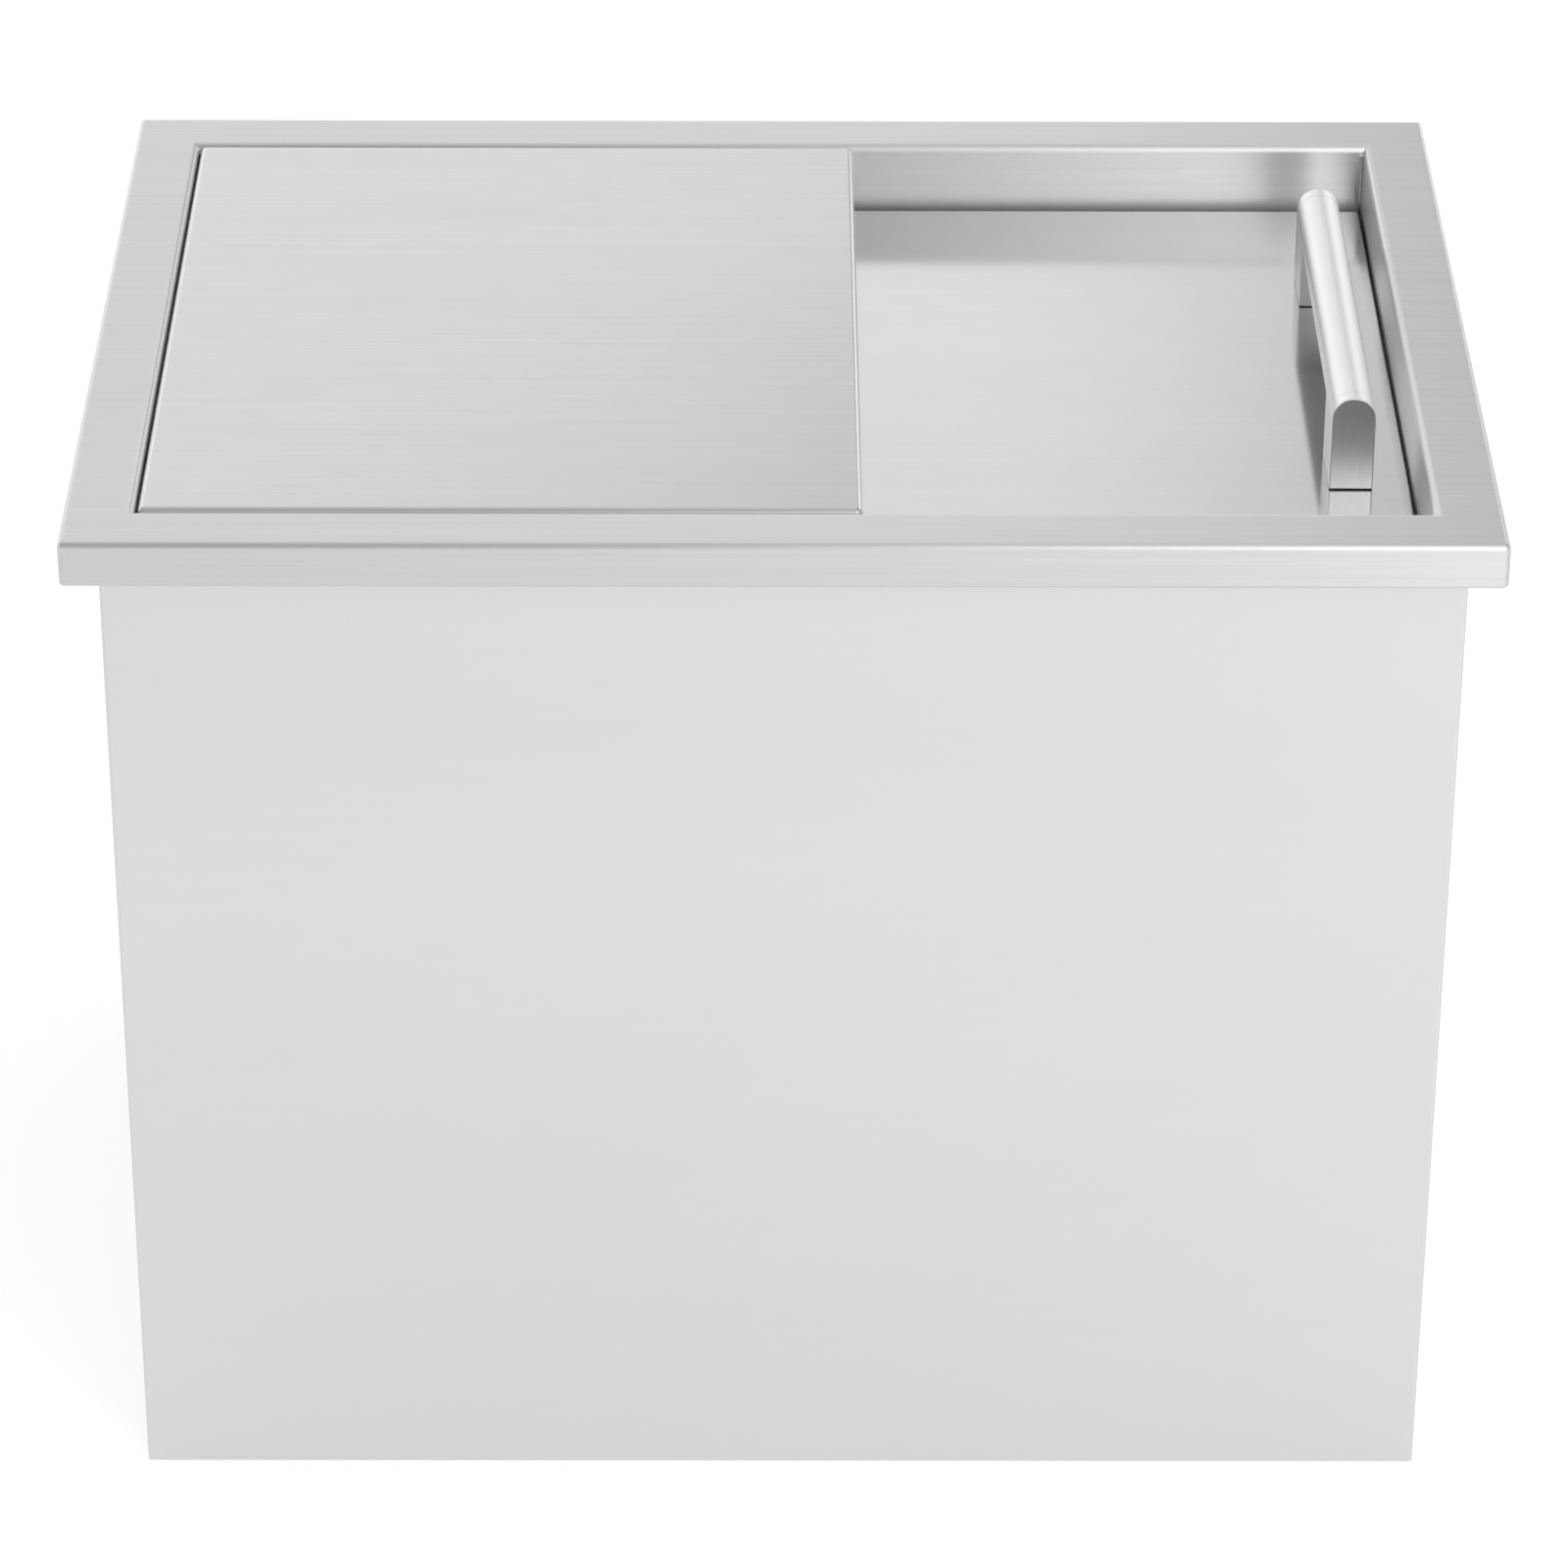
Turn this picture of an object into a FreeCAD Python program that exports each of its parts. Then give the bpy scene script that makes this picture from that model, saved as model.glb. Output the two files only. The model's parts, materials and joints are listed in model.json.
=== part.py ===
import FreeCAD, Part
import math
import os
import re
import Sketcher

# Drop-in ice bin: origin at the centre of its base, +Z up, front towards -Y, millimetres.

doc = FreeCAD.newDocument("ice_bin")

sizes = {
    # rim frame
    "rim_width": 686,
    "rim_depth": 481,
    "bin_height": 545,
    "rim_flange": 34,
    "rim_drop": 23.2,
    "rim_overhang": 17,
    "rim_sheet": 1,
    "rim_bend": 3,
    "rim_corner": 3,
    "hem_bend": 2.2,
    "mouth_bend": 4,
    "lip_gap": 5,
    # outer shell, back panel and base
    "shell_sheet": 0.8,
    "shell_bend": 2,
    "shell_lap": 15,
    "shell_foot": 15,
    "foot_notch": 1,
    "rivet_radius": 1.6,
    "rivet_head_radius": 3.2,
    "rivet_head_height": 1.2,
    "rivet_tail": 2,
    "rivet_gap": 0.1,
    "rivet_margin": 60,
    "base_recess": 30,
    "base_sheet": 1,
    # tub and insulation
    "floor_foam": 28,
    "foam_top_gap": 21,
    "tub_sheet": 1,
    "ledge_width": 10,
    "tub_corner": 20,
    "tub_cove": 10,
    # fixed cover and what it lies on
    "cover_length": 345.3,
    "cover_thick": 25,
    "cover_sheet": 1,
    "cover_bend": 3,
    "cover_corner": 3,
    "cover_end_gap": 1.2,
    "cover_side_gap": 1,
    "bar_width": 10,
    "bar_height": 6,
    "bar_setback": 4,
    "pad_thick": 1.5,
    "pad_length": 24,
    "pad_width": 7,
    "pad_inset": 40,
    # sliding lid
    "lid_headroom": 2.5,
    "lid_thick": 20,
    "lid_sheet": 1,
    "lid_bend": 1.5,
    "lid_corner": 2,
    "lid_overlap": 32,
    "lid_end_gap": 1.5,
    "lid_side_gap": 5,
    "plate_sheet": 0.8,
    "plate_gap": 0.1,
    "glide_thick": 3,
    "glide_width": 5,
    "glide_inset": 12,
    "slide_gap": 0.2,
    "lid_stop_radius": 4,
    "lid_stop_thick": 1.2,
    "lid_stop_spread": 240,
    # handle
    "handle_width": 21.4,
    "handle_side": 4.3,
    "handle_length": 240,
    "handle_inset": 29.4,
    "handle_shift": 2.5,
    "handle_pad": 0.5,
    "handle_wall": 1.5,
    "pad_recess": 0.3,
    "leg_height": 34.5,
    "leg_depth": 37,
    "leg_base": 8,
    "cap_thick": 8,
    "screw_radius": 2.5,
    "screw_grip": 6,
    "screw_head_radius": 4.6,
    "screw_head_height": 3.2,
    "screw_gap": 0.1,
    "washer_radius": 6,
    "washer_thick": 1,
    "screw_pocket": 2,
    # drain
    "drain_offset": 104,
    "sump_radius": 48,
    "sump_depth": 4,
    "sump_clearance": 1,
    "drain_flange_radius": 42,
    "drain_flange_thick": 3,
    "drain_tube_radius": 24,
    "drain_gap": 0.2,
    "throat_radius": 20,
    "throat_depth": 18,
    "gasket_radius": 36,
    "gasket_thick": 3,
    "friction_washer_thick": 1.5,
    "nut_radius": 38,
    "nut_height": 9,
    "thread_spare": 3,
    "tail_radius": 16.6,
    "tail_bore": 13,
    "tail_collar_radius": 23,
    "tail_collar_height": 10,
    "outlet_height": 4,
    "strainer_thick": 1.5,
    "strainer_hole": 2.6,
    "strainer_ring": 11,
    "plug_radius": 28,
    "plug_thick": 3,
    "plug_shank": 12,
    "plug_gap": 0.4,
    "plug_taper": 1,
    "knob_radius": 8,
    "knob_stem_radius": 4,
    "knob_stem_height": 14,
}

rivets_per_side = 5
strainer_holes = 6

sheet = doc.addObject("Spreadsheet::Sheet", "Sizes")
for row, (alias, value) in enumerate(sizes.items(), start=1):
    sheet.set(f"A{row}", alias.replace("_", " "))
    sheet.set(f"B{row}", str(value))
    sheet.setAlias(f"B{row}", alias)
doc.recompute()

# Places that several pieces share, worked out from the sizes above.
mouth_x = "(rim_width / 2 - rim_flange)"
mouth_y = "(rim_depth / 2 - rim_flange)"
shell_x = "(rim_width / 2 - rim_overhang)"
shell_y = "(rim_depth / 2 - rim_overhang)"
wrap_rear = f"({shell_y} - shell_sheet)"
inner_rear = f"({shell_y} - 2 * shell_sheet)"
inner_front = f"({shell_y} - shell_sheet)"
inner_width = f"(2 * {shell_x} - 2 * shell_sheet)"
inner_depth = f"({inner_front} + {inner_rear})"
inner_centre = f"(({inner_rear} - {inner_front}) / 2)"
rivet_end = f"({inner_rear} - rivet_tail)"
rim_low = "(bin_height - rim_drop)"
rim_under = "(bin_height - rim_sheet)"

cover_low = "(bin_height - cover_thick)"
cover_left = f"(cover_end_gap - {mouth_x})"
cover_right = f"({cover_left} + cover_length)"
cover_middle = f"({cover_left} + cover_length / 2)"
cover_y = f"({mouth_y} - cover_side_gap)"
bar_top = f"({cover_low} - pad_thick)"
bar_low = f"({bar_top} - bar_height)"

lid_top = f"({bar_low} - lid_headroom)"
lid_low = f"({lid_top} - lid_thick)"
lid_left = f"({cover_right} - lid_overlap)"
lid_right = f"({mouth_x} - lid_end_gap)"
lid_length = f"({lid_right} - {lid_left})"
lid_middle = f"(({lid_right} + {lid_left}) / 2)"
lid_y = f"({mouth_y} - lid_side_gap)"
ledge_top = f"({lid_low} - glide_thick - slide_gap)"
ledge_low = f"({ledge_top} - tub_sheet)"

handle_x = f"({lid_right} - handle_inset)"
handle_front = "(handle_shift - handle_length / 2)"
handle_rear = "(handle_shift + handle_length / 2)"
leg_low = f"({lid_top} + handle_pad)"
grip_low = f"({leg_low} + leg_height)"
leg_box_depth = "(leg_depth - cap_thick)"
leg_front_y = f"({handle_front} + cap_thick + {leg_box_depth} / 2)"
leg_rear_y = f"({handle_rear} - cap_thick - {leg_box_depth} / 2)"

tub_x = f"({mouth_x} - ledge_width)"
tub_y = f"({mouth_y} - ledge_width)"
drain_x = f"({tub_x} - drain_offset)"
base_top = "(base_recess + base_sheet)"
tub_under = f"({base_top} + floor_foam)"
tub_floor = f"({tub_under} + tub_sheet)"
sump_floor = f"({tub_floor} - sump_depth)"
sump_under = f"({sump_floor} - tub_sheet)"
drain_top = f"({sump_floor} + drain_flange_thick)"
gasket_low = f"({sump_under} - gasket_thick)"
washer_low = f"({gasket_low} - friction_washer_thick)"
nut_low = f"({washer_low} - nut_height)"
tube_low = f"({nut_low} - thread_spare)"
collar_low = f"({tube_low} - tail_collar_height)"
plug_top = f"({drain_top} + plug_thick)"

tiny = 1e-4
rough = 9
pieces = []


def formula(text):
    return re.sub(r"[a-z]\w*", lambda word: "Sizes." + word.group(), text)


def bind(item, links):
    for target, text in links.items():
        item.setExpression(target, formula(text))


def keep(item, label):
    item.Label = label
    pieces.append(item)
    return item


# Primitives and booleans

def primitive(kind, name, place, links):
    item = doc.addObject(f"Part::{kind}", name)
    bind(item, links)
    bind(item, {f"Placement.Base.{axis}": text for axis, text in zip("xyz", place)})
    return item


def block(name, low, size):
    return primitive("Box", name, low, dict(zip(("Length", "Width", "Height"), size)))


def rod(name, radius, low, height):
    return primitive("Cylinder", name, low, {"Radius": radius, "Height": height})


def rod_along_x(name, radius, low, length):
    item = rod(name, radius, low, length)
    turn = FreeCAD.Rotation(FreeCAD.Vector(0, 1, 0), 90)
    item.Placement = FreeCAD.Placement(item.Placement.Base, turn)
    return item


def rod_along_y(name, radius, low, length):
    item = rod(name, radius, low, length)
    turn = FreeCAD.Rotation(FreeCAD.Vector(1, 0, 0), -90)
    item.Placement = FreeCAD.Placement(item.Placement.Base, turn)
    return item


def fuse(name, *items):
    item = doc.addObject("Part::MultiFuse", name)
    item.Shapes = list(items)
    return item


def group(name, items):
    item = doc.addObject("Part::Compound", name)
    item.Links = list(items)
    return item


def cut(name, base, tool):
    item = doc.addObject("Part::Cut", name)
    item.Base = base
    item.Tool = tool
    return item


# Bodies with sketches, each drawn at a rough size that its dimensions then set

def new_body(name):
    return doc.addObject("PartDesign::Body", name)


def new_sketch(body, name, place, plane="XY_Plane"):
    sketch = body.newObject("Sketcher::SketchObject", name)
    support = next(item for item in body.Origin.OriginFeatures if item.Role == plane)
    sketch.AttachmentSupport = [(support, "")]
    sketch.MapMode = "FlatFace"
    bind(sketch, {f"AttachmentOffset.Base.{axis}": text for axis, text in zip("xyz", place)})
    return sketch


def dimension(sketch, name, text, *constraint):
    index = sketch.addConstraint(Sketcher.Constraint(*constraint))
    sketch.renameConstraint(index, name)
    sketch.setExpression(f"Constraints.{name}", formula(text))


def draw_rectangle(sketch, width, depth):
    start = sketch.GeometryCount
    signs = ((-1, -1), (1, -1), (1, 1), (-1, 1))
    corners = [FreeCAD.Vector(x * rough, y * rough, 0) for x, y in signs]
    for index in range(4):
        sketch.addGeometry(Part.LineSegment(corners[index], corners[(index + 1) % 4]), False)
    for index in range(4):
        following = start + (index + 1) % 4
        sketch.addConstraint(Sketcher.Constraint("Coincident", start + index, 2, following, 1))
        level = "Horizontal" if index % 2 == 0 else "Vertical"
        sketch.addConstraint(Sketcher.Constraint(level, start + index))
    sketch.addConstraint(Sketcher.Constraint("Symmetric", start, 1, start + 1, 2, -1, 1))
    dimension(sketch, f"width{start}", width, "DistanceX", start, 1, start, 2, 2 * rough)
    dimension(sketch, f"depth{start}", depth, "DistanceY", start + 1, 1, start + 1, 2, 2 * rough)


def draw_rounded_rectangle(sketch, width, depth, corner):
    # sides and corner arcs in turn, anticlockwise from the side nearest the front
    start = sketch.GeometryCount
    quarter = math.pi / 2
    inset = rough / 2
    for turn in range(4):
        spin = FreeCAD.Rotation(FreeCAD.Vector(0, 0, 1), 90 * turn)
        ends = [spin.multVec(FreeCAD.Vector(x, -rough, 0)) for x in (-inset, inset)]
        centre = spin.multVec(FreeCAD.Vector(inset, -inset, 0))
        circle = Part.Circle(centre, FreeCAD.Vector(0, 0, 1), inset)
        sketch.addGeometry(Part.LineSegment(*ends), False)
        sketch.addGeometry(Part.ArcOfCircle(circle, quarter * (turn - 1), quarter * turn), False)
    for index in range(8):
        following = start + (index + 1) % 8
        sketch.addConstraint(Sketcher.Constraint("Tangent", start + index, 2, following, 1))
    for turn in range(4):
        level = "Horizontal" if turn % 2 == 0 else "Vertical"
        sketch.addConstraint(Sketcher.Constraint(level, start + 2 * turn))
    for turn in range(1, 4):
        sketch.addConstraint(Sketcher.Constraint("Equal", start + 1, start + 1 + 2 * turn))
    sketch.addConstraint(Sketcher.Constraint("Symmetric", start + 1, 3, start + 5, 3, -1, 1))
    dimension(sketch, f"width{start}", width, "DistanceX", start + 6, 1, start + 2, 1, 2 * rough)
    dimension(sketch, f"depth{start}", depth, "DistanceY", start, 1, start + 4, 1, 2 * rough)
    dimension(sketch, f"corner{start}", corner, "Radius", start + 1, inset)


def draw_circle(sketch, radius):
    start = sketch.GeometryCount
    circle = Part.Circle(FreeCAD.Vector(0, 0, 0), FreeCAD.Vector(0, 0, 1), rough)
    sketch.addGeometry(circle, False)
    sketch.addConstraint(Sketcher.Constraint("Coincident", start, 3, -1, 1))
    dimension(sketch, f"radius{start}", radius, "Radius", start, rough)


def draw_arch(sketch, width, side):
    # foot, right side, left side and a half circle on top, with the foot centred on the origin
    left_foot, right_foot = FreeCAD.Vector(-rough, 0, 0), FreeCAD.Vector(rough, 0, 0)
    left_top, right_top = FreeCAD.Vector(-rough, rough, 0), FreeCAD.Vector(rough, rough, 0)
    sketch.addGeometry(Part.LineSegment(left_foot, right_foot), False)
    sketch.addGeometry(Part.LineSegment(right_foot, right_top), False)
    sketch.addGeometry(Part.LineSegment(left_top, left_foot), False)
    sketch.addGeometry(Part.Arc(right_top, FreeCAD.Vector(0, 2 * rough, 0), left_top), False)
    sketch.addConstraint(Sketcher.Constraint("Coincident", 0, 2, 1, 1))
    sketch.addConstraint(Sketcher.Constraint("Coincident", 2, 2, 0, 1))
    sketch.addConstraint(Sketcher.Constraint("Tangent", 1, 2, 3, 1))
    sketch.addConstraint(Sketcher.Constraint("Tangent", 3, 2, 2, 1))
    sketch.addConstraint(Sketcher.Constraint("Horizontal", 0))
    sketch.addConstraint(Sketcher.Constraint("Vertical", 1))
    sketch.addConstraint(Sketcher.Constraint("Vertical", 2))
    sketch.addConstraint(Sketcher.Constraint("Symmetric", 0, 1, 0, 2, -1, 1))
    dimension(sketch, "width", width, "DistanceX", 0, 1, 0, 2, 2 * rough)
    dimension(sketch, "side", side, "DistanceY", 1, 1, 1, 2, rough)


def pad(body, sketch, length):
    feature = body.newObject("PartDesign::Pad", "Pad")
    feature.Profile = sketch
    bind(feature, {"Length": length})
    return feature


def pocket(body, sketch, length):
    before = body.Shape.Volume
    feature = body.newObject("PartDesign::Pocket", "Pocket")
    feature.Profile = sketch
    bind(feature, {"Length": length})
    doc.recompute()
    if not feature.Shape.Volume < before:
        raise RuntimeError(f"a pocket of {body.Label} cut nothing")
    return feature


def pad_rectangle(body, name, place, size, height):
    sketch = new_sketch(body, name, place)
    draw_rectangle(sketch, *size)
    feature = pad(body, sketch, height)
    doc.recompute()
    return feature


def pad_ring(body, name, place, outer, inner, height):
    sketch = new_sketch(body, name, place)
    draw_rectangle(sketch, *outer)
    draw_rectangle(sketch, *inner)
    feature = pad(body, sketch, height)
    doc.recompute()
    return feature


def pocket_rectangle(body, name, place, size, depth):
    sketch = new_sketch(body, name, place)
    draw_rectangle(sketch, *size)
    doc.recompute()
    return pocket(body, sketch, depth)


def pad_circle(body, name, place, radius, height):
    sketch = new_sketch(body, name, place)
    draw_circle(sketch, radius)
    feature = pad(body, sketch, height)
    doc.recompute()
    return feature


def pocket_circle(body, name, place, radius, depth):
    sketch = new_sketch(body, name, place)
    draw_circle(sketch, radius)
    doc.recompute()
    return pocket(body, sketch, depth)


def fillet(body, base, radius, wanted):
    whole = base.Shape.BoundBox
    names = [
        f"Edge{number}"
        for number, edge in enumerate(base.Shape.Edges, start=1)
        if wanted(edge.BoundBox, whole)
    ]
    feature = body.newObject("PartDesign::Fillet", "Fillet")
    feature.Base = (base, names)
    bind(feature, {"Radius": radius})
    doc.recompute()
    return feature


def hollow(body, base, wall, wanted):
    whole = base.Shape.BoundBox
    names = [
        f"Face{number}"
        for number, face in enumerate(base.Shape.Faces, start=1)
        if wanted(face.BoundBox, whole)
    ]
    feature = body.newObject("PartDesign::Thickness", "Fold")
    feature.Base = (base, names)
    feature.Reversed = True
    bind(feature, {"Value": wall})
    doc.recompute()
    return feature


# Which edges or faces a fillet or fold takes, by their box and that of the whole piece

def upright(box, whole):
    return box.XLength < tiny and box.YLength < tiny and box.ZLength > tiny


def on_outside(box, whole):
    across = min(abs(box.XMin - whole.XMin), abs(box.XMax - whole.XMax))
    along = min(abs(box.YMin - whole.YMin), abs(box.YMax - whole.YMax))
    return across < tiny and along < tiny


def outer_upright(box, whole):
    return upright(box, whole) and on_outside(box, whole)


def inner_upright(box, whole):
    return upright(box, whole) and not on_outside(box, whole)


def at_top(box, whole):
    return box.ZLength < tiny and abs(box.ZMax - whole.ZMax) < tiny


def at_bottom(box, whole):
    return box.ZLength < tiny and abs(box.ZMin - whole.ZMin) < tiny


def hem_edge(box, whole):
    hem = whole.ZMax - sizes["rim_drop"]
    level = box.ZLength < tiny and abs(box.ZMax - hem) < tiny
    across = min(abs(box.XMin - whole.XMin), abs(box.XMax - whole.XMax))
    along = min(abs(box.YMin - whole.YMin), abs(box.YMax - whole.YMax))
    return level and min(across, along) < tiny


def inside_flange(box, whole):
    margin = sizes["rim_flange"] / 2
    clear_x = box.XMin > whole.XMin + margin and box.XMax < whole.XMax - margin
    clear_y = box.YMin > whole.YMin + margin and box.YMax < whole.YMax - margin
    return clear_x and clear_y


def mouth_edge(box, whole):
    return at_top(box, whole) and inside_flange(box, whole)


def under_mouth_edge(box, whole):
    below = whole.ZMax - sizes["rim_sheet"]
    level = box.ZLength < tiny and abs(box.ZMax - below) < tiny
    return level and inside_flange(box, whole)


def folded_pan(label, place, size, height, wall, corner, bend):
    # a sheet folded down on four sides, open below
    body = new_body(label)
    solid = pad_rectangle(body, "Outline", place, size, height)
    rounded = fillet(body, solid, corner, outer_upright)
    bent = fillet(body, rounded, bend, at_top)
    hollow(body, bent, wall, at_bottom)
    return body


def flat_plate(label, place, size, height, corner):
    body = new_body(label)
    solid = pad_rectangle(body, "Outline", place, size, height)
    fillet(body, solid, corner, outer_upright)
    return body


# Rim frame: counter flange, drop edge with its return lip, and the collar of the mouth

def make_rim_frame():
    mouth = (f"2 * {mouth_x}", f"2 * {mouth_y}")
    collar = (f"2 * {mouth_x} + 2 * rim_sheet", f"2 * {mouth_y} + 2 * rim_sheet")
    rim = ("rim_width", "rim_depth")
    lip_inner = (f"2 * {shell_x} + 2 * lip_gap", f"2 * {shell_y} + 2 * lip_gap")
    body = folded_pan(
        "rim_frame", ("0", "0", rim_low), rim, "rim_drop", "rim_sheet", "rim_corner", "rim_bend"
    )
    pocket_rectangle(body, "Mouth", ("0", "0", "bin_height"), mouth, "rim_drop")
    walls = pad_ring(
        body, "Collar", ("0", "0", ledge_top), collar, mouth, f"bin_height - {ledge_top}"
    )
    inside = fillet(body, walls, "mouth_bend - rim_sheet", under_mouth_edge)
    fillet(body, inside, "mouth_bend", mouth_edge)
    lip = new_sketch(body, "Lip", ("0", "0", rim_low))
    draw_rounded_rectangle(lip, *rim, "rim_corner")
    draw_rectangle(lip, *lip_inner)
    hem = pad(body, lip, "rim_sheet")
    doc.recompute()
    fillet(body, hem, "hem_bend", hem_edge)
    return keep(body, "rim_frame")


# Blind rivets through the back panel and the flanges of the wrap

def rivet_places():
    span = f"({rim_low} - 2 * rivet_margin)"
    for side in ("-", ""):
        for step in range(rivets_per_side):
            height = f"(rivet_margin + {span} * {step} / {rivets_per_side - 1})"
            yield f"{side}({shell_x} - shell_lap / 2)", height


def make_rivet_holes():
    start = f"({rivet_end} - rivet_gap)"
    depth = f"{shell_y} - {start}"
    holes = [
        rod_along_y("rivet_hole", "rivet_radius + rivet_gap", (x, start, z), depth)
        for x, z in rivet_places()
    ]
    return group("rivet_holes", holes)


def make_back_rivets():
    rivets = []
    for x, z in rivet_places():
        shank_length = f"{shell_y} - {rivet_end}"
        shank = rod_along_y("rivet_shank", "rivet_radius", (x, rivet_end, z), shank_length)
        head = rod_along_y("rivet_head", "rivet_head_radius", (x, shell_y, z), "rivet_head_height")
        rivets.append(fuse("rivet", shank, head))
    return keep(group("rivets", rivets), "back_rivets")


# Outer shell: front and sides in one wrap, lapped behind, with a flange to stand on

def make_outer_shell(rivet_holes):
    depth = f"({shell_y} + {wrap_rear})"
    centre = f"(({wrap_rear} - {shell_y}) / 2)"
    body = new_body("shell_wrap")
    solid = pad_rectangle(body, "Wrap", ("0", centre, "0"), (f"2 * {shell_x}", depth), rim_under)
    bent = fillet(body, solid, "shell_bend", outer_upright)
    inner = pocket_rectangle(
        body, "Inside", ("0", inner_centre, rim_under), (inner_width, inner_depth), rim_under
    )
    fillet(body, inner, "shell_bend - shell_sheet", inner_upright)
    window = (f"2 * {shell_x} - 2 * shell_lap", "4 * shell_sheet")
    pocket_rectangle(body, "Rear_window", ("0", wrap_rear, rim_under), window, rim_under)
    foot_depth = f"({depth} - shell_foot)"
    foot_centre = f"(({wrap_rear} + shell_foot - {shell_y}) / 2)"
    for side in ("-", ""):
        place = (f"{side}({shell_x} - shell_sheet / 2 - shell_foot / 2)", foot_centre, "0")
        pad_rectangle(body, "Side_foot", place, ("shell_foot", foot_depth), "shell_sheet")
    front_place = ("0", f"shell_sheet / 2 + shell_foot / 2 - {shell_y}", "0")
    front_size = (f"{inner_width} - 2 * shell_bend", "shell_foot")
    pad_rectangle(body, "Front_foot", front_place, front_size, "shell_sheet")
    return keep(cut("drilled_shell", body, rivet_holes), "outer_shell")


def make_back_panel(rivet_holes):
    panel = block(
        "panel_sheet",
        (f"-{shell_x}", wrap_rear, "0"),
        (f"2 * {shell_x}", "shell_sheet", rim_under),
    )
    foot_x = f"({shell_x} - shell_foot - shell_sheet - foot_notch)"
    foot = block(
        "panel_foot",
        (f"-{foot_x}", f"{wrap_rear} - shell_foot", "0"),
        (f"2 * {foot_x}", "shell_foot", "shell_sheet"),
    )
    folded = fuse("folded_panel", panel, foot)
    return keep(cut("drilled_panel", folded, rivet_holes), "back_panel")


# Base tray, standing on the foot flange inside the shell

def make_base_pan():
    body = folded_pan(
        "base_pan",
        ("0", inner_centre, "shell_sheet"),
        (inner_width, inner_depth),
        f"{base_top} - shell_sheet",
        "base_sheet",
        "shell_bend",
        "shell_bend",
    )
    place = (drain_x, "0", base_top)
    pocket_circle(body, "Drain_hole", place, "tail_collar_radius + sump_clearance", base_top)
    return keep(body, "base_pan")


# Tub with coved corners, the ledge under the lid and the sump round the drain

def make_liner_tub():
    body = new_body("liner_tub")
    outer = (f"2 * {tub_x} + 2 * tub_sheet", f"2 * {tub_y} + 2 * tub_sheet")
    inner = (f"2 * {tub_x}", f"2 * {tub_y}")
    ledge = (f"2 * {mouth_x} + 2 * rim_sheet", f"2 * {mouth_y} + 2 * rim_sheet")
    drain_place = (drain_x, "0")
    walls = new_sketch(body, "Walls", ("0", "0", tub_under))
    draw_rounded_rectangle(walls, *outer, "tub_corner + tub_sheet")
    solid = pad(body, walls, f"{ledge_top} - {tub_under}")
    doc.recompute()
    coved = fillet(body, solid, "tub_cove + tub_sheet", at_bottom)
    hollow(body, coved, "tub_sheet", at_top)
    shelf = new_sketch(body, "Ledge", ("0", "0", ledge_low))
    draw_rectangle(shelf, *ledge)
    draw_rounded_rectangle(shelf, *inner, "tub_corner")
    pad(body, shelf, "tub_sheet")
    doc.recompute()
    sump_place = (*drain_place, sump_under)
    pad_circle(body, "Sump", sump_place, "sump_radius + tub_sheet", f"{tub_under} - {sump_under}")
    pocket_circle(body, "Sump_well", (*drain_place, tub_floor), "sump_radius", "sump_depth")
    hole = "drain_tube_radius + drain_gap"
    pocket_circle(body, "Drain_hole", (*drain_place, sump_floor), hole, "2 * tub_sheet")
    return keep(body, "liner_tub")


def make_foam_insulation(rivet_holes):
    body = new_body("foam_filling")
    top = "(bin_height - foam_top_gap)"
    outer = (inner_width, inner_depth)
    collar = (f"2 * {mouth_x} + 2 * rim_sheet", f"2 * {mouth_y} + 2 * rim_sheet")
    tub = (f"2 * {tub_x} + 2 * tub_sheet", f"2 * {tub_y} + 2 * tub_sheet")
    place = ("0", inner_centre, base_top)
    solid = pad_rectangle(body, "Filling", place, outer, f"{top} - {base_top}")
    fillet(body, solid, "shell_bend", outer_upright)
    pocket_rectangle(body, "Collar_space", ("0", "0", top), collar, f"{top} - {ledge_low}")
    pocket_rectangle(body, "Tub_space", ("0", "0", ledge_low), tub, f"{ledge_low} - {tub_under}")
    sleeve = "sump_radius + tub_sheet + sump_clearance"
    pocket_circle(body, "Drain_sleeve", (drain_x, "0", tub_under), sleeve, "floor_foam")
    return keep(cut("foam_round_rivets", body, rivet_holes), "foam_insulation")


# Bars and pads that carry the fixed cover

def make_cover_bars():
    length = f"{cover_right} - bar_setback + {mouth_x}"
    size = (length, "bar_width", "bar_height")
    front = block("bar_front", (f"-{mouth_x}", f"-{mouth_y}", bar_low), size)
    rear = block("bar_rear", (f"-{mouth_x}", f"{mouth_y} - bar_width", bar_low), size)
    left = block(
        "bar_left",
        (f"-{mouth_x}", f"bar_width - {mouth_y}", bar_low),
        ("bar_width", f"2 * {mouth_y} - 2 * bar_width", "bar_height"),
    )
    keep(front, "cover_bar_front")
    keep(rear, "cover_bar_rear")
    keep(left, "cover_bar_left")


def make_cover_pads():
    pads = []
    for side in ("-", ""):
        middle_y = f"{side}({mouth_y} - bar_width / 2)"
        for middle_x in (f"({cover_left} + pad_inset)", f"({cover_right} - pad_inset)"):
            low = (f"{middle_x} - pad_length / 2", f"{middle_y} - pad_width / 2", bar_top)
            pads.append(block("cover_pad", low, ("pad_length", "pad_width", "pad_thick")))
    return keep(group("pads_on_bars", pads), "cover_pads")


# Fixed cover: folded top sheet, foam core and bottom plate

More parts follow.
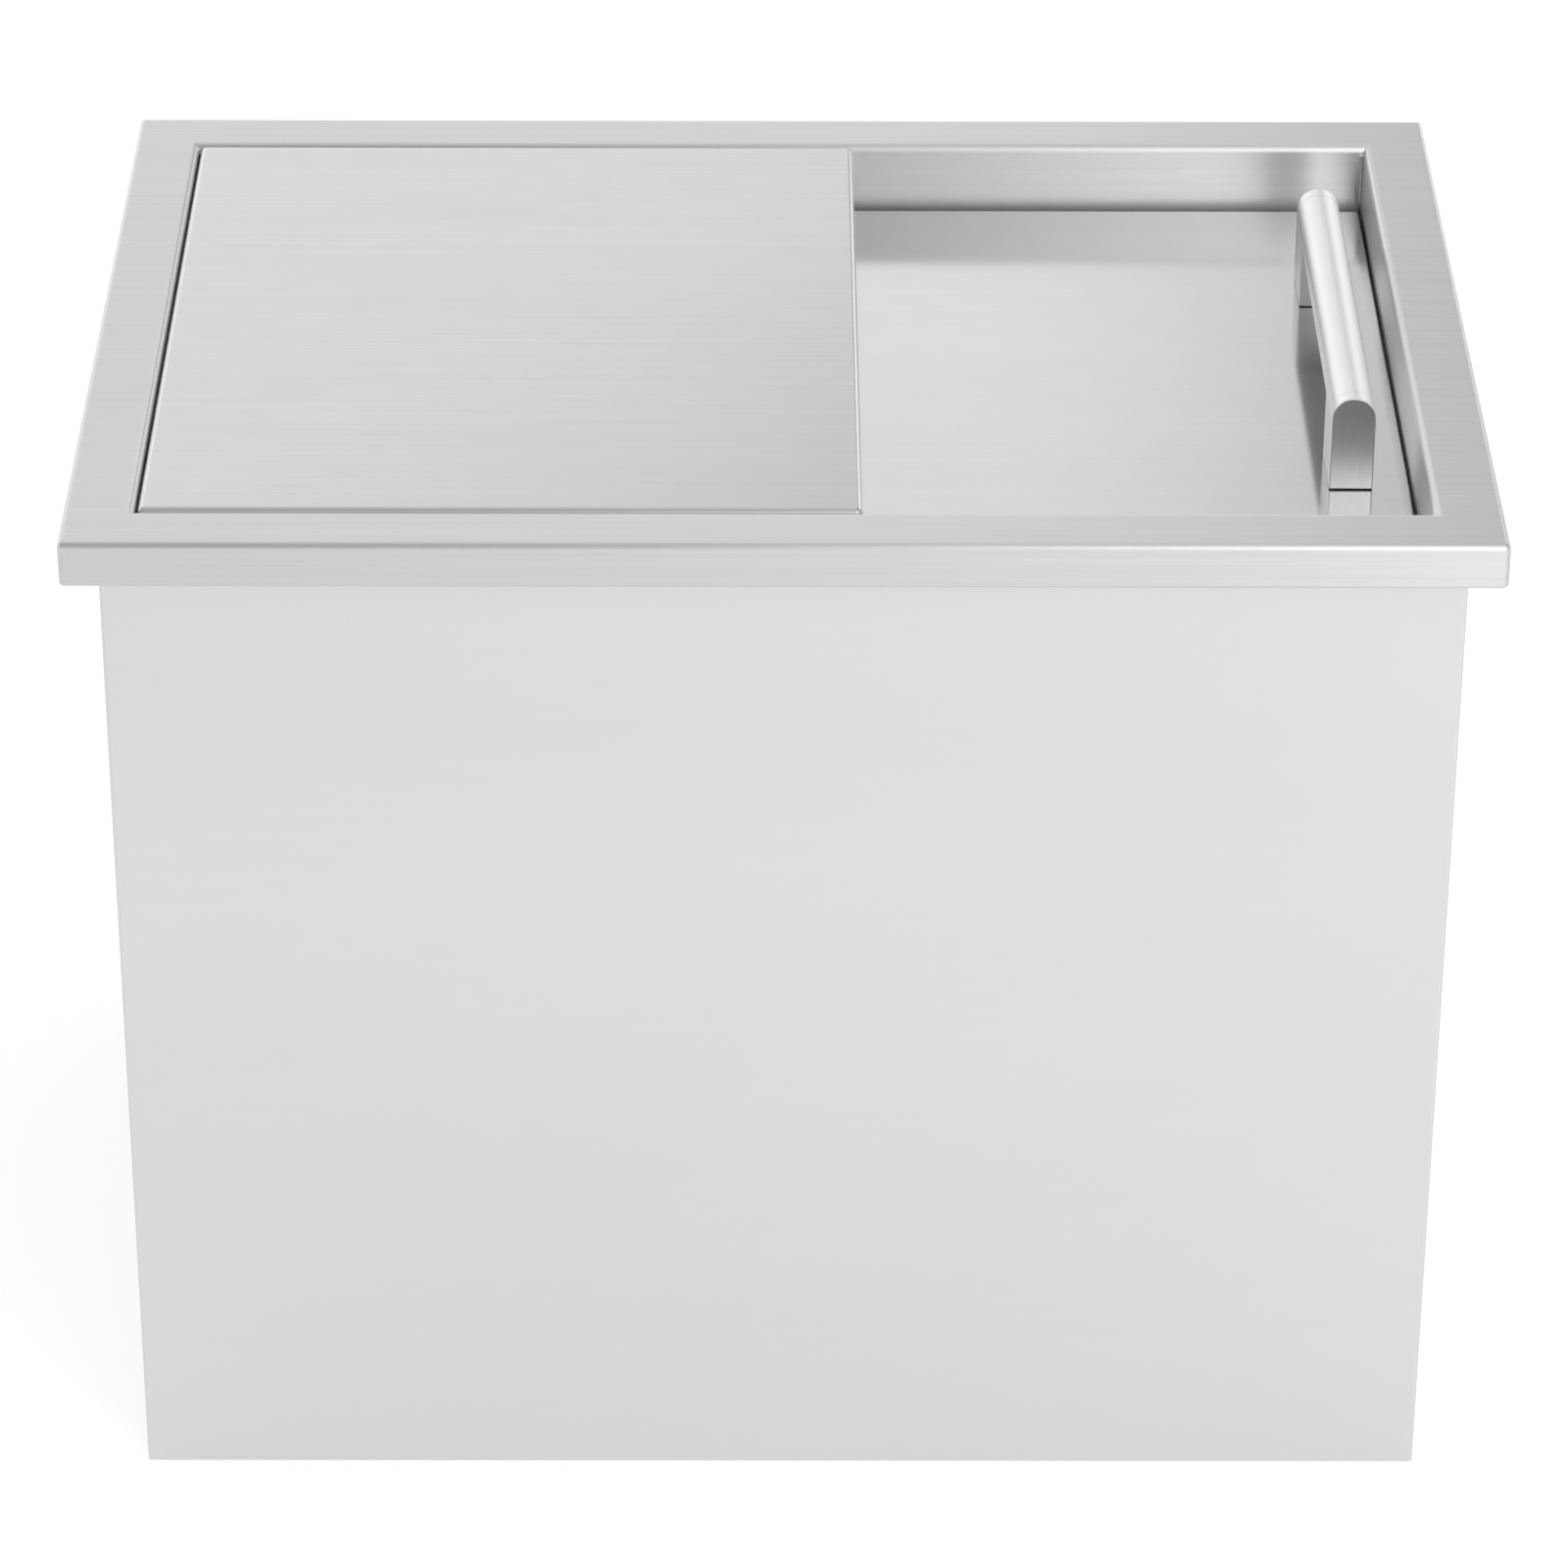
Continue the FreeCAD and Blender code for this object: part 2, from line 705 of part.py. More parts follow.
def make_fixed_cover():
    size = ("cover_length", f"2 * {cover_y}")
    place = (cover_middle, "0", cover_low)
    pan = folded_pan(
        "cover_top_pan", place, size, "cover_thick", "cover_sheet", "cover_corner", "cover_bend"
    )
    keep(pan, "cover_top_pan")
    trim = "2 * (cover_sheet + plate_gap)"
    plate_size = (f"cover_length - {trim}", f"2 * {cover_y} - {trim}")
    plate = flat_plate("cover_bottom_plate", place, plate_size, "plate_sheet", "cover_corner")
    keep(plate, "cover_bottom_plate")
    inset = "(cover_sheet + cover_bend)"
    core = block(
        "cover_core",
        (f"{cover_left} + {inset}", f"{inset} - {cover_y}", f"{cover_low} + plate_sheet"),
        (
            f"cover_length - 2 * {inset}",
            f"2 * {cover_y} - 2 * {inset}",
            "cover_thick - cover_sheet - plate_sheet",
        ),
    )
    return keep(core, "cover_foam_core")


# Sliding lid: folded top sheet, foam core, bottom plate, glides and closed stops

def screw_rods(name, radius, low, height):
    return [rod(name, radius, (handle_x, y, low), height) for y in (leg_front_y, leg_rear_y)]


def make_lid_pan():
    size = (lid_length, f"2 * {lid_y}")
    place = (lid_middle, "0", lid_low)
    pan = folded_pan("lid_pan", place, size, "lid_thick", "lid_sheet", "lid_corner", "lid_bend")
    low = f"{lid_top} - 2 * lid_sheet"
    holes = screw_rods("pan_hole", "screw_radius + screw_gap", low, "3 * lid_sheet")
    keep(cut("drilled_pan", pan, group("pan_holes", holes)), "lid_top_pan")
    trim = "2 * (lid_sheet + plate_gap)"
    plate_size = (f"{lid_length} - {trim}", f"2 * {lid_y} - {trim}")
    plate = flat_plate("lid_bottom_plate", place, plate_size, "plate_sheet", "lid_corner")
    return keep(plate, "lid_bottom_plate")


def make_lid_core():
    inset = "(lid_sheet + lid_bend)"
    height = "lid_thick - lid_sheet - plate_sheet"
    core = block(
        "lid_core",
        (f"{lid_left} + {inset}", f"{inset} - {lid_y}", f"{lid_low} + plate_sheet"),
        (f"{lid_length} - 2 * {inset}", f"2 * {lid_y} - 2 * {inset}", height),
    )
    depth = "(washer_thick + screw_head_height + screw_pocket)"
    low = f"{lid_top} - lid_sheet - {depth}"
    pockets = screw_rods("core_pocket", "washer_radius + screw_pocket", low, f"{depth} + lid_sheet")
    return keep(cut("pocketed_core", core, group("core_pockets", pockets)), "lid_foam_core")


def make_lid_glides():
    size = (f"{lid_length} - 2 * glide_inset", "glide_width", "glide_thick")
    left = f"{lid_left} + glide_inset"
    low = f"{lid_low} - glide_thick"
    front = block("glide_front", (left, f"-{lid_y}", low), size)
    rear = block("glide_rear", (left, f"{lid_y} - glide_width", low), size)
    keep(front, "lid_glide_front")
    keep(rear, "lid_glide_rear")


def make_lid_bumpers():
    height = f"({lid_low} + lid_thick / 2)"
    bumpers = [
        rod_along_x(
            "lid_bumper",
            "lid_stop_radius",
            (lid_right, f"{side}lid_stop_spread / 2", height),
            "lid_stop_thick",
        )
        for side in ("-", "")
    ]
    return keep(group("bumpers_on_lid", bumpers), "lid_bumpers")


# Handle: half-round tube on two box legs, closed by arched end caps

def arch_body(name, side, low, rear, length):
    body = new_body(name)
    sketch = new_sketch(body, "Arch", (handle_x, low, f"-{rear}"), "XZ_Plane")
    draw_arch(sketch, "handle_width", side)
    pad(body, sketch, length)
    doc.recompute()
    return body


def make_handle_bar():
    rear = f"({handle_rear} - cap_thick)"
    body = arch_body("handle_bar", "handle_side", grip_low, rear, "handle_length - 2 * cap_thick")
    place = (handle_x, f"{grip_low} + handle_wall", f"-{rear}")
    sketch = new_sketch(body, "Bore", place, "XZ_Plane")
    draw_arch(sketch, "(handle_width - 2 * handle_wall)", "handle_side - handle_wall")
    before = body.Shape.Volume
    bore = body.newObject("PartDesign::Pocket", "Pocket")
    bore.Profile = sketch
    bore.Reversed = True
    bind(bore, {"Length": "handle_length"})
    doc.recompute()
    if not bore.Shape.Volume < before:
        raise RuntimeError("the bore of the handle bar cut nothing")
    return keep(body, "handle_bar")


def make_handle_caps():
    side = "leg_height + handle_side"
    front_rear = f"({handle_front} + cap_thick)"
    keep(arch_body("cap_front", side, leg_low, front_rear, "cap_thick"), "handle_cap_front")
    keep(arch_body("cap_rear", side, leg_low, handle_rear, "cap_thick"), "handle_cap_rear")


def make_handle_legs():
    for label, middle in (("handle_leg_front", leg_front_y), ("handle_leg_rear", leg_rear_y)):
        outer = block(
            "leg_block",
            (f"{handle_x} - handle_width / 2", f"{middle} - {leg_box_depth} / 2", leg_low),
            ("handle_width", leg_box_depth, "leg_height"),
        )
        inner_size = (
            "handle_width - 2 * handle_wall",
            f"{leg_box_depth} - 2 * handle_wall",
            "leg_height",
        )
        inner_low = (
            f"{handle_x} - handle_width / 2 + handle_wall",
            f"{middle} - {leg_box_depth} / 2 + handle_wall",
            f"{leg_low} + leg_base",
        )
        space = block("leg_space", inner_low, inner_size)
        tapped = rod(
            "leg_tapping",
            "screw_radius + screw_gap",
            (handle_x, middle, f"{leg_low} - screw_gap"),
            "leg_base + leg_height / 2",
        )
        keep(cut("hollow_leg", outer, fuse("leg_cuts", space, tapped)), label)


def make_handle_pads():
    pads = []
    size = ("handle_width - 2 * pad_recess", "leg_depth - 2 * pad_recess", "handle_pad")
    left = f"{handle_x} - handle_width / 2 + pad_recess"
    for front in (handle_front, f"({handle_rear} - leg_depth)"):
        pads.append(block("leg_pad", (left, f"{front} + pad_recess", lid_top), size))
    holes = screw_rods(
        "pad_hole", "screw_radius + screw_gap", f"{lid_top} - handle_pad", "3 * handle_pad"
    )
    drilled = cut("drilled_pads", group("leg_pads", pads), group("pad_holes", holes))
    return keep(drilled, "handle_pads")


def make_handle_screws():
    seat = f"({lid_top} - lid_sheet - washer_thick)"
    shank_height = "lid_sheet + washer_thick + handle_pad + screw_grip"
    shanks = screw_rods("screw_shank", "screw_radius", seat, shank_height)
    head_low = f"{seat} - screw_head_height"
    heads = screw_rods("screw_head", "screw_head_radius", head_low, "screw_head_height")
    screws = [fuse("screw", shank, head) for shank, head in zip(shanks, heads)]
    keep(group("screws", screws), "handle_screws")
    discs = screw_rods("washer_disc", "washer_radius", seat, "washer_thick")
    eyes = screw_rods("washer_eye", "screw_radius + screw_gap", seat, "washer_thick")
    washers = [cut("washer", disc, eye) for disc, eye in zip(discs, eyes)]
    return keep(group("washers", washers), "handle_washers")


# Drain: flanged body through the sump, clamped by a nut, with a tail for the hose

def drain_rod(name, radius, low, height):
    return rod(name, radius, (drain_x, "0", low), height)


def drain_ring(name, outer, inner, low, height):
    disc = drain_rod(f"{name}_disc", outer, low, height)
    return cut(f"{name}_ring", disc, drain_rod(f"{name}_eye", inner, low, height))


def make_drain_body():
    length = f"{drain_top} - {tube_low}"
    tube = drain_rod("drain_tube", "drain_tube_radius", tube_low, length)
    flange = drain_rod("drain_flange", "drain_flange_radius", sump_floor, "drain_flange_thick")
    throat = drain_rod("throat", "throat_radius", f"{drain_top} - throat_depth", "throat_depth")
    bore = drain_rod("drain_bore", "tail_bore", tube_low, length)
    solid = fuse("drain_solid", tube, flange)
    return keep(cut("bored_drain", solid, fuse("drain_bores", throat, bore)), "drain_body")


def make_drain_clamp():
    eye = "drain_tube_radius + drain_gap"
    gasket = drain_ring("gasket", "gasket_radius", eye, gasket_low, "gasket_thick")
    washer = drain_ring("friction", "gasket_radius", eye, washer_low, "friction_washer_thick")
    hexagon = primitive(
        "Prism",
        "nut_hexagon",
        (drain_x, "0", nut_low),
        {"Circumradius": "nut_radius", "Height": "nut_height"},
    )
    nut_eye = drain_rod("nut_eye", eye, nut_low, "nut_height")
    keep(gasket, "drain_gasket")
    keep(washer, "drain_washer")
    keep(cut("bored_nut", hexagon, nut_eye), "drain_nut")


def make_drain_tail():
    collar = drain_rod("tail_collar", "tail_collar_radius", collar_low, "tail_collar_height")
    spigot_height = f"{collar_low} - outlet_height"
    spigot = drain_rod("tail_spigot", "tail_radius", "outlet_height", spigot_height)
    bore_height = f"{tube_low} - outlet_height"
    bore = drain_rod("tail_hole", "tail_bore", "outlet_height", bore_height)
    return keep(cut("bored_tail", fuse("tail_solid", collar, spigot), bore), "drain_tailpiece")


def make_drain_strainer():
    seat = f"({drain_top} - throat_depth)"
    disc = drain_rod("strainer_disc", "throat_radius - plug_gap", seat, "strainer_thick")
    holes = [drain_rod("strainer_eye", "strainer_hole", seat, "strainer_thick")]
    for number in range(strainer_holes):
        turn = FreeCAD.Rotation(FreeCAD.Vector(0, 0, 1), 360 * number / strainer_holes)
        way = turn.multVec(FreeCAD.Vector(1, 0, 0))
        place = (
            f"{drain_x} + strainer_ring * ({way.x:.6f})",
            f"strainer_ring * ({way.y:.6f})",
            seat,
        )
        holes.append(rod("strainer_eye", "strainer_hole", place, "strainer_thick"))
    return keep(cut("strainer", disc, group("strainer_eyes", holes)), "drain_strainer")


def make_drain_plug():
    shank = primitive(
        "Cone",
        "plug_cone",
        (drain_x, "0", f"{drain_top} - plug_shank"),
        {
            "Radius1": "throat_radius - plug_gap - plug_taper",
            "Radius2": "throat_radius - plug_gap",
            "Height": "plug_shank",
        },
    )
    disc = drain_rod("plug_disc", "plug_radius", drain_top, "plug_thick")
    keep(fuse("plug", shank, disc), "drain_plug")
    stem = drain_rod("knob_stem", "knob_stem_radius", plug_top, "knob_stem_height")
    ball_height = f"{plug_top} + knob_stem_height"
    ball = primitive(
        "Sphere", "knob_ball", (drain_x, "0", ball_height), {"Radius": "knob_radius"}
    )
    return keep(fuse("knob", stem, ball), "plug_knob")


make_rim_frame()
rivet_holes = make_rivet_holes()
make_outer_shell(rivet_holes)
make_back_panel(rivet_holes)
make_back_rivets()
make_base_pan()
make_liner_tub()
make_foam_insulation(rivet_holes)
make_cover_bars()
make_cover_pads()
make_fixed_cover()
make_lid_pan()
make_lid_core()
make_lid_glides()
make_lid_bumpers()
make_handle_bar()
make_handle_caps()
make_handle_legs()
make_handle_pads()
make_handle_screws()
make_drain_body()
make_drain_clamp()
make_drain_tail()
make_drain_strainer()
make_drain_plug()
doc.recompute()

for item in doc.Objects:
    if "Invalid" in item.State or "Error" in item.State:
        raise RuntimeError(f"{item.Label} failed: {item.State}")
for item in pieces:
    if item.Shape.isNull() or not item.Shape.isValid():
        raise RuntimeError(f"{item.Label} has no valid shape")

os.makedirs("parts", exist_ok=True)
for item in pieces:
    item.Shape.exportStep(os.path.join("parts", item.Label + ".step"))
    print(item.Label, len(item.Shape.Solids), "solids", round(item.Shape.Volume / 1000, 2), "cm3")
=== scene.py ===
import json
import math

import bmesh
import bpy
from mathutils import Matrix, Vector

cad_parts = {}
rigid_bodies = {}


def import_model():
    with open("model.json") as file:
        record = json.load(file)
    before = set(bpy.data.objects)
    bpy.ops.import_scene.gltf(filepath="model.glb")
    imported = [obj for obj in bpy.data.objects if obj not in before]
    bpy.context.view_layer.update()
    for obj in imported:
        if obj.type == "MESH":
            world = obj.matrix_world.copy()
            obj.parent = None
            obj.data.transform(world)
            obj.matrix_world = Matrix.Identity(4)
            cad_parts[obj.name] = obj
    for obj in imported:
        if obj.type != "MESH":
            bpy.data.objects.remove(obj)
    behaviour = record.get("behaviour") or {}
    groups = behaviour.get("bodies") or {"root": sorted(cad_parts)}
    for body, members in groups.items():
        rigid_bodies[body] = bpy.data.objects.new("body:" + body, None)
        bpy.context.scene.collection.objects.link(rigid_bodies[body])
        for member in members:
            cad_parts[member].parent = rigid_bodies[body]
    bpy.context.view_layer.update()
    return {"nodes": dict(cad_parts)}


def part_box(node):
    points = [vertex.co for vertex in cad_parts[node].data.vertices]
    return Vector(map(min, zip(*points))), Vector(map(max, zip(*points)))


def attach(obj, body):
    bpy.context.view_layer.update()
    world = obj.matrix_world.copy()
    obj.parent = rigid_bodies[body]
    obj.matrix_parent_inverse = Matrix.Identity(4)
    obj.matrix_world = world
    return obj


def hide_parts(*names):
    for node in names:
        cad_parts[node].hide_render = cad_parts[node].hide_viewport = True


# Drop-in ice bin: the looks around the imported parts, in metres, front towards -Y.

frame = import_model()

mm = 0.001
endFace = 0.75  # a face whose normal leans this far along X has the grain of an end face


# Node tools

def feed(tree, socket, value):
    # a link where the value is a socket, else a plain value
    if isinstance(value, bpy.types.NodeSocket):
        tree.links.new(value, socket)
    else:
        socket.default_value = value


def addNode(tree, kind, inputs=None, **settings):
    node = tree.nodes.new("ShaderNode" + kind)
    for name, value in settings.items():
        setattr(node, name, value)
    for name, value in (inputs or {}).items():
        feed(tree, node.inputs[name], value)
    return node


def calc(tree, operation, *values):
    node = addNode(tree, "Math", operation=operation)
    for socket, value in zip(node.inputs, values):
        feed(tree, socket, value)
    return node.outputs[0]


def vectorCalc(tree, operation, first, second=None, scale=None):
    node = addNode(tree, "VectorMath", operation=operation)
    feed(tree, node.inputs[0], first)
    if second is not None:
        feed(tree, node.inputs[1], second)
    if scale is not None:
        feed(tree, node.inputs["Scale"], scale)
    return node.outputs["Value" if operation in ("DOT_PRODUCT", "LENGTH") else "Vector"]


def spread(tree, value, low, high, fromLow=0.0, fromHigh=1.0):
    inputs = {"Value": value, "From Min": fromLow, "From Max": fromHigh, "To Min": low, "To Max": high}
    return addNode(tree, "MapRange", inputs).outputs["Result"]


def noise(tree, vector, scale, detail=2.0, rough=0.5):
    inputs = {"Vector": vector, "Scale": scale, "Detail": detail, "Roughness": rough}
    return addNode(tree, "TexNoise", inputs).outputs["Fac"]


def newGroup(name, inputs, outputs):
    tree = bpy.data.node_groups.new(name, "ShaderNodeTree")
    for label, (kind, value) in inputs.items():
        socket = tree.interface.new_socket(label, in_out="INPUT", socket_type="NodeSocket" + kind)
        socket.default_value = value
    for label in outputs:
        tree.interface.new_socket(label, in_out="OUTPUT", socket_type="NodeSocketFloat")
    return tree, tree.nodes.new("NodeGroupInput").outputs, tree.nodes.new("NodeGroupOutput").inputs


def useGroup(tree, group, **inputs):
    node = tree.nodes.new("ShaderNodeGroup")
    node.node_tree = group
    for name, value in inputs.items():
        feed(tree, node.inputs[name], value)
    return node.outputs


# Effects that several finishes share

# each layer's scale, detail and roughness, and its share of what the grain puts out
grainLayers = {"streaks": (1.0, 3.0, 0.6), "bands": (0.22, 2.0, 0.55), "hairs": (3.4, 1.0, 0.5)}
grainShares = {
    "Tone": {"streaks": 0.5, "bands": 0.2, "hairs": 0.3},
    "Height": {"streaks": 0.6, "hairs": 0.4},
}


def makeBrushedGrain():
    # strokes of a brushing belt, along one way on most faces and another on the end faces
    tree, given, out = newGroup(
        "brushedGrain",
        {
            "Along": ("Vector", (1, 0, 0)),
            "EndAlong": ("Vector", (0, 1, 0)),
            "Fine": ("Float", 800.0),
            "Stroke": ("Float", 12.0),
        },
        ("Tone", "Height"),
    )
    coords = addNode(tree, "TexCoord").outputs
    sideways = calc(tree, "ABSOLUTE", addNode(tree, "SeparateXYZ", {0: coords["Normal"]}).outputs["X"])
    onEnd = calc(tree, "GREATER_THAN", sideways, endFace)
    pick = addNode(tree, "Mix", data_type="VECTOR")
    feed(tree, pick.inputs["Factor"], onEnd)
    feed(tree, pick.inputs[4], given["Along"])
    feed(tree, pick.inputs[5], given["EndAlong"])
    along = pick.outputs[1]
    reach = vectorCalc(tree, "DOT_PRODUCT", coords["Object"], along)
    lengthwise = vectorCalc(tree, "SCALE", along, scale=reach)
    across = vectorCalc(tree, "SUBTRACT", coords["Object"], lengthwise)
    fineAcross = vectorCalc(tree, "SCALE", across, scale=given["Fine"])
    strokeAlong = vectorCalc(tree, "SCALE", lengthwise, scale=given["Stroke"])
    vector = vectorCalc(tree, "ADD", fineAcross, strokeAlong)
    layers = {layer: noise(tree, vector, *values) for layer, values in grainLayers.items()}
    for label, shares in grainShares.items():
        total = 0.0
        for layer, share in shares.items():
            total = calc(tree, "MULTIPLY_ADD", layers[layer], share, total)
        feed(tree, out[label], total)
    return tree


# each pattern's fineness against the size asked for, its detail and its roughness
sheetPatterns = {"Cloud": (1.0, 3.0, 0.55), "Wave": (1.7, 0.0, 0.4), "Smudge": (3.3, 4.0, 0.65)}
smudgeFrom = (0.52, 0.78)  # between these values a sheet turns from clean to smudged


def makeSheetWander():
    # slow changes over a sheet: its rolled tone, its waves and the marks of hands and cloths
    inputs = {"Size": ("Float", 5.0), "Squeeze": ("Vector", (1, 1, 1))}
    tree, given, out = newGroup("sheetWander", inputs, sheetPatterns)
    coords = vectorCalc(tree, "MULTIPLY", addNode(tree, "TexCoord").outputs["Object"], given["Squeeze"])
    for label, (fineness, detail, rough) in sheetPatterns.items():
        pattern = noise(tree, coords, calc(tree, "MULTIPLY", given["Size"], fineness), detail, rough)
        if label == "Smudge":
            pattern = spread(tree, pattern, 0.0, 1.0, *smudgeFrom)
        feed(tree, out[label], pattern)
    return tree


# the fold mask is a polish from handling and a painted highlight on bends at once
foldPatches = {"from": (0.35, 0.65), "to": (0.55, 1.0)}  # how far the polish breaks up


def makeFoldPolishAndSheen():
    # bends and edges that hands and cloths keep bright, broken up along their length; the same lift is a
    # painted highlight along the bends
    tree, given, out = newGroup("foldPolishAndSheen", {"Break": ("Float", 60.0)}, ("Mask",))
    worn = addNode(tree, "Attribute", attribute_name="fold").outputs["Fac"]
    coords = addNode(tree, "TexCoord").outputs["Object"]
    broken = noise(tree, coords, given["Break"], detail=2.0, rough=0.5)
    patches = spread(tree, broken, *foldPatches["to"], *foldPatches["from"])
    feed(tree, out["Mask"], calc(tree, "MULTIPLY", worn, patches))
    return tree


def makeTurnedRings():
    # lathe rings round an upright axis
    inputs = {"Centre": ("Vector", (0, 0, 0)), "Pitch": ("Float", 2500.0)}
    tree, given, out = newGroup("turnedRings", inputs, ("Tone", "Height"))
    coords = addNode(tree, "TexCoord").outputs["Object"]
    offset = vectorCalc(tree, "SUBTRACT", coords, given["Centre"])
    flat = vectorCalc(tree, "MULTIPLY", offset, (1, 1, 0))
    radius = vectorCalc(tree, "LENGTH", flat)
    height = addNode(tree, "SeparateXYZ", {0: offset}).outputs["Z"]
    ringPlace = addNode(tree, "CombineXYZ", {"X": radius, "Y": height}).outputs[0]
    rings = noise(tree, ringPlace, given["Pitch"], detail=2.0, rough=0.6)
    feed(tree, out["Tone"], rings)
    feed(tree, out["Height"], rings)
    return tree


mouldCloud = 0.05  # fineness of the plastic's tone against its skin


def makeMouldGrain():
    # the fine skin of moulded plastic and rubber
    tree, given, out = newGroup("mouldGrain", {"Size": ("Float", 900.0)}, ("Tone", "Height"))
    coords = addNode(tree, "TexCoord").outputs["Object"]
    cloudSize = calc(tree, "MULTIPLY", given["Size"], mouldCloud)
    feed(tree, out["Tone"], noise(tree, coords, cloudSize, detail=3.0, rough=0.6))
    feed(tree, out["Height"], noise(tree, coords, given["Size"], detail=2.0, rough=0.6))
    return tree


brushedGrain = makeBrushedGrain()
sheetWander = makeSheetWander()
foldPolishAndSheen = makeFoldPolishAndSheen()
turnedRings = makeTurnedRings()
mouldGrain = makeMouldGrain()


# Finishes

noiseSpan = (0.3, 0.7)  # where most of a noise's values lie
midMask = 0.5  # halfway between a sheet's dark and light tone


def newFinish(name, metallic, **plain):
    finish = bpy.data.materials.new(name)
    finish.use_nodes = True
    tree = finish.node_tree
    shader = tree.nodes["Principled BSDF"]
    shader.inputs["Metallic"].default_value = metallic
    for label, value in plain.items():
        shader.inputs[label.replace("_", " ")].default_value = value
    return finish, tree, shader


def grey(tone):
    return (tone, tone, tone)


def setTone(tree, shader, mask, dark, light):
    # base colour between two tones, by a mask
    mix = addNode(tree, "Mix", data_type="RGBA")
    feed(tree, mix.inputs["Factor"], mask)
    feed(tree, mix.inputs[6], (*dark, 1))
    feed(tree, mix.inputs[7], (*light, 1))
    feed(tree, shader.inputs["Base Color"], mix.outputs[2])


def setBump(tree, shader, height, strength, distance):
    inputs = {"Height": height, "Strength": strength, "Distance": distance}
    feed(tree, shader.inputs["Normal"], addNode(tree, "Bump", inputs).outputs["Normal"])


def sheetFinish(name, look):
    # brushed or satin stainless sheet
    finish, tree, shader = newFinish(name, look["metal"])
    grain = useGroup(tree, brushedGrain, Along=look["along"], EndAlong=look["endAlong"],
                     Fine=look["fine"], Stroke=look["stroke"])
    squeeze = [1.0 - look["drawn"] * part for part in look["along"]]
    wander = useGroup(tree, sheetWander, Size=look["wander"], Squeeze=squeeze)
    polishAndSheen = useGroup(tree, foldPolishAndSheen)
    grainPart = spread(tree, grain["Tone"], -look["grainTone"], look["grainTone"], *noiseSpan)
    cloudPart = spread(tree, wander["Cloud"], -look["cloudTone"], look["cloudTone"], *noiseSpan)
    mask = calc(tree, "ADD", calc(tree, "ADD", grainPart, cloudPart), midMask)
    # painted light on bends: the fold mask lifts the tone there (lowers it on the rim), besides the polish
    mask = calc(tree, "MULTIPLY_ADD", polishAndSheen["Mask"], look["foldWearAndPaintedLight"], mask)
    mask = calc(tree, "MULTIPLY_ADD", wander["Smudge"], -look["smudgeTone"], mask)
    dark, light = look["tone"] - look["toneRange"], look["tone"] + look["toneRange"]
    setTone(tree, shader, mask, grey(dark), grey(light))
    smooth, coarse = look["rough"] - look["roughRange"], look["rough"] + look["roughRange"]
    rough = spread(tree, grain["Tone"], smooth, coarse, *noiseSpan)
    rough = calc(tree, "MULTIPLY_ADD", wander["Smudge"], look["smudgeRough"], rough)
    rough = calc(tree, "MULTIPLY_ADD", polishAndSheen["Mask"], -look["foldRough"], rough)
    feed(tree, shader.inputs["Roughness"], rough)
    grainHeight = calc(tree, "MULTIPLY", grain["Height"], look["grainHeight"])
    height = calc(tree, "MULTIPLY_ADD", wander["Wave"], look["wave"], grainHeight)
    setBump(tree, shader, height, look["bump"], look["depth"])
    if look["stretch"]:
        shader.inputs["Anisotropic"].default_value = look["stretch"]
        across = addNode(tree, "Tangent", direction_type="UV_MAP", uv_map="acrossGrain")
        feed(tree, shader.inputs["Tangent"], across.outputs[0])
    return finish


brushedLook = {
    "metal": 1.0, "tone": 0.645, "toneRange": 0.2, "rough": 0.31, "roughRange": 0.02, "stretch": 0.0,
    # the grain's way, on most faces and on end faces, and how fine and long its strokes are
    "along": (1, 0, 0), "endAlong": (0, 1, 0), "fine": 520.0, "stroke": 3.5,
    # what grain, clouds, bends and smudges do to the tone, the roughness and the surface; on bends the tone
    # is polish and painted light at once
    "wander": 6.0, "drawn": 0.8, "grainTone": 0.1, "cloudTone": 0.02, "foldWearAndPaintedLight": 0.05, "smudgeTone": 0.015,
    "smudgeRough": 0.02, "foldRough": 0.01, "grainHeight": 0.004, "wave": 0.05,
    "bump": 0.2, "depth": 1.0 * mm,
}
# the rim's bends take a slightly darker tone than its flats: painted shade that tones down the highlight
# the softboxes lay along them
rimLook = {
    **brushedLook, "tone": 0.792, "rough": 0.34, "roughRange": 0.015, "stretch": 0.92,
    "grainTone": 0.12, "grainHeight": 0.01, "foldWearAndPaintedLight": -0.02,
}
lidLook = {
    **brushedLook, "tone": 0.63, "rough": 0.14, "roughRange": 0.012, "grainTone": 0.04, "smudgeTone": 0.01,
}
bodyLook = {**brushedLook, "tone": 0.855, "rough": 0.58, "grainTone": 0.02}
tubLook = {
    **brushedLook, "metal": 0.7, "tone": 0.78, "rough": 0.48, "along": (0, 0, 1), "endAlong": (0, 0, 1),
    "fine": 500.0, "stroke": 14.0, "smudgeTone": 0.08,
}
barLook = {**tubLook, "metal": 1.0, "tone": 0.62, "rough": 0.33, "along": (1, 0, 0), "endAlong": (0, 1, 0)}
gripLook = {
    **brushedLook, "tone": 0.83, "rough": 0.44, "along": (0, 1, 0), "endAlong": (0, 1, 0),
    "fine": 900.0, "stroke": 16.0, "wave": 0.02,
}
# the bar's underside: a lighter, more matt copy of the grip's steel, painted light that lifts the underside
# and its mirror image in the lid out of their shade
undersidePaintedLightLook = {**gripLook, "metal": 0.6, "tone": 0.9, "rough": 0.5}
capLook = {
    **gripLook, "tone": 0.585, "rough": 0.245, "roughRange": 0.01, "along": (0, 0, 1),
    "fine": 1100.0, "stroke": 30.0,
}
legLook = {
    **gripLook, "metal": 0.8, "tone": 0.8, "rough": 0.5, "along": (0, 0, 1), "endAlong": (0, 0, 1),
    "fine": 1100.0, "stroke": 30.0,
}

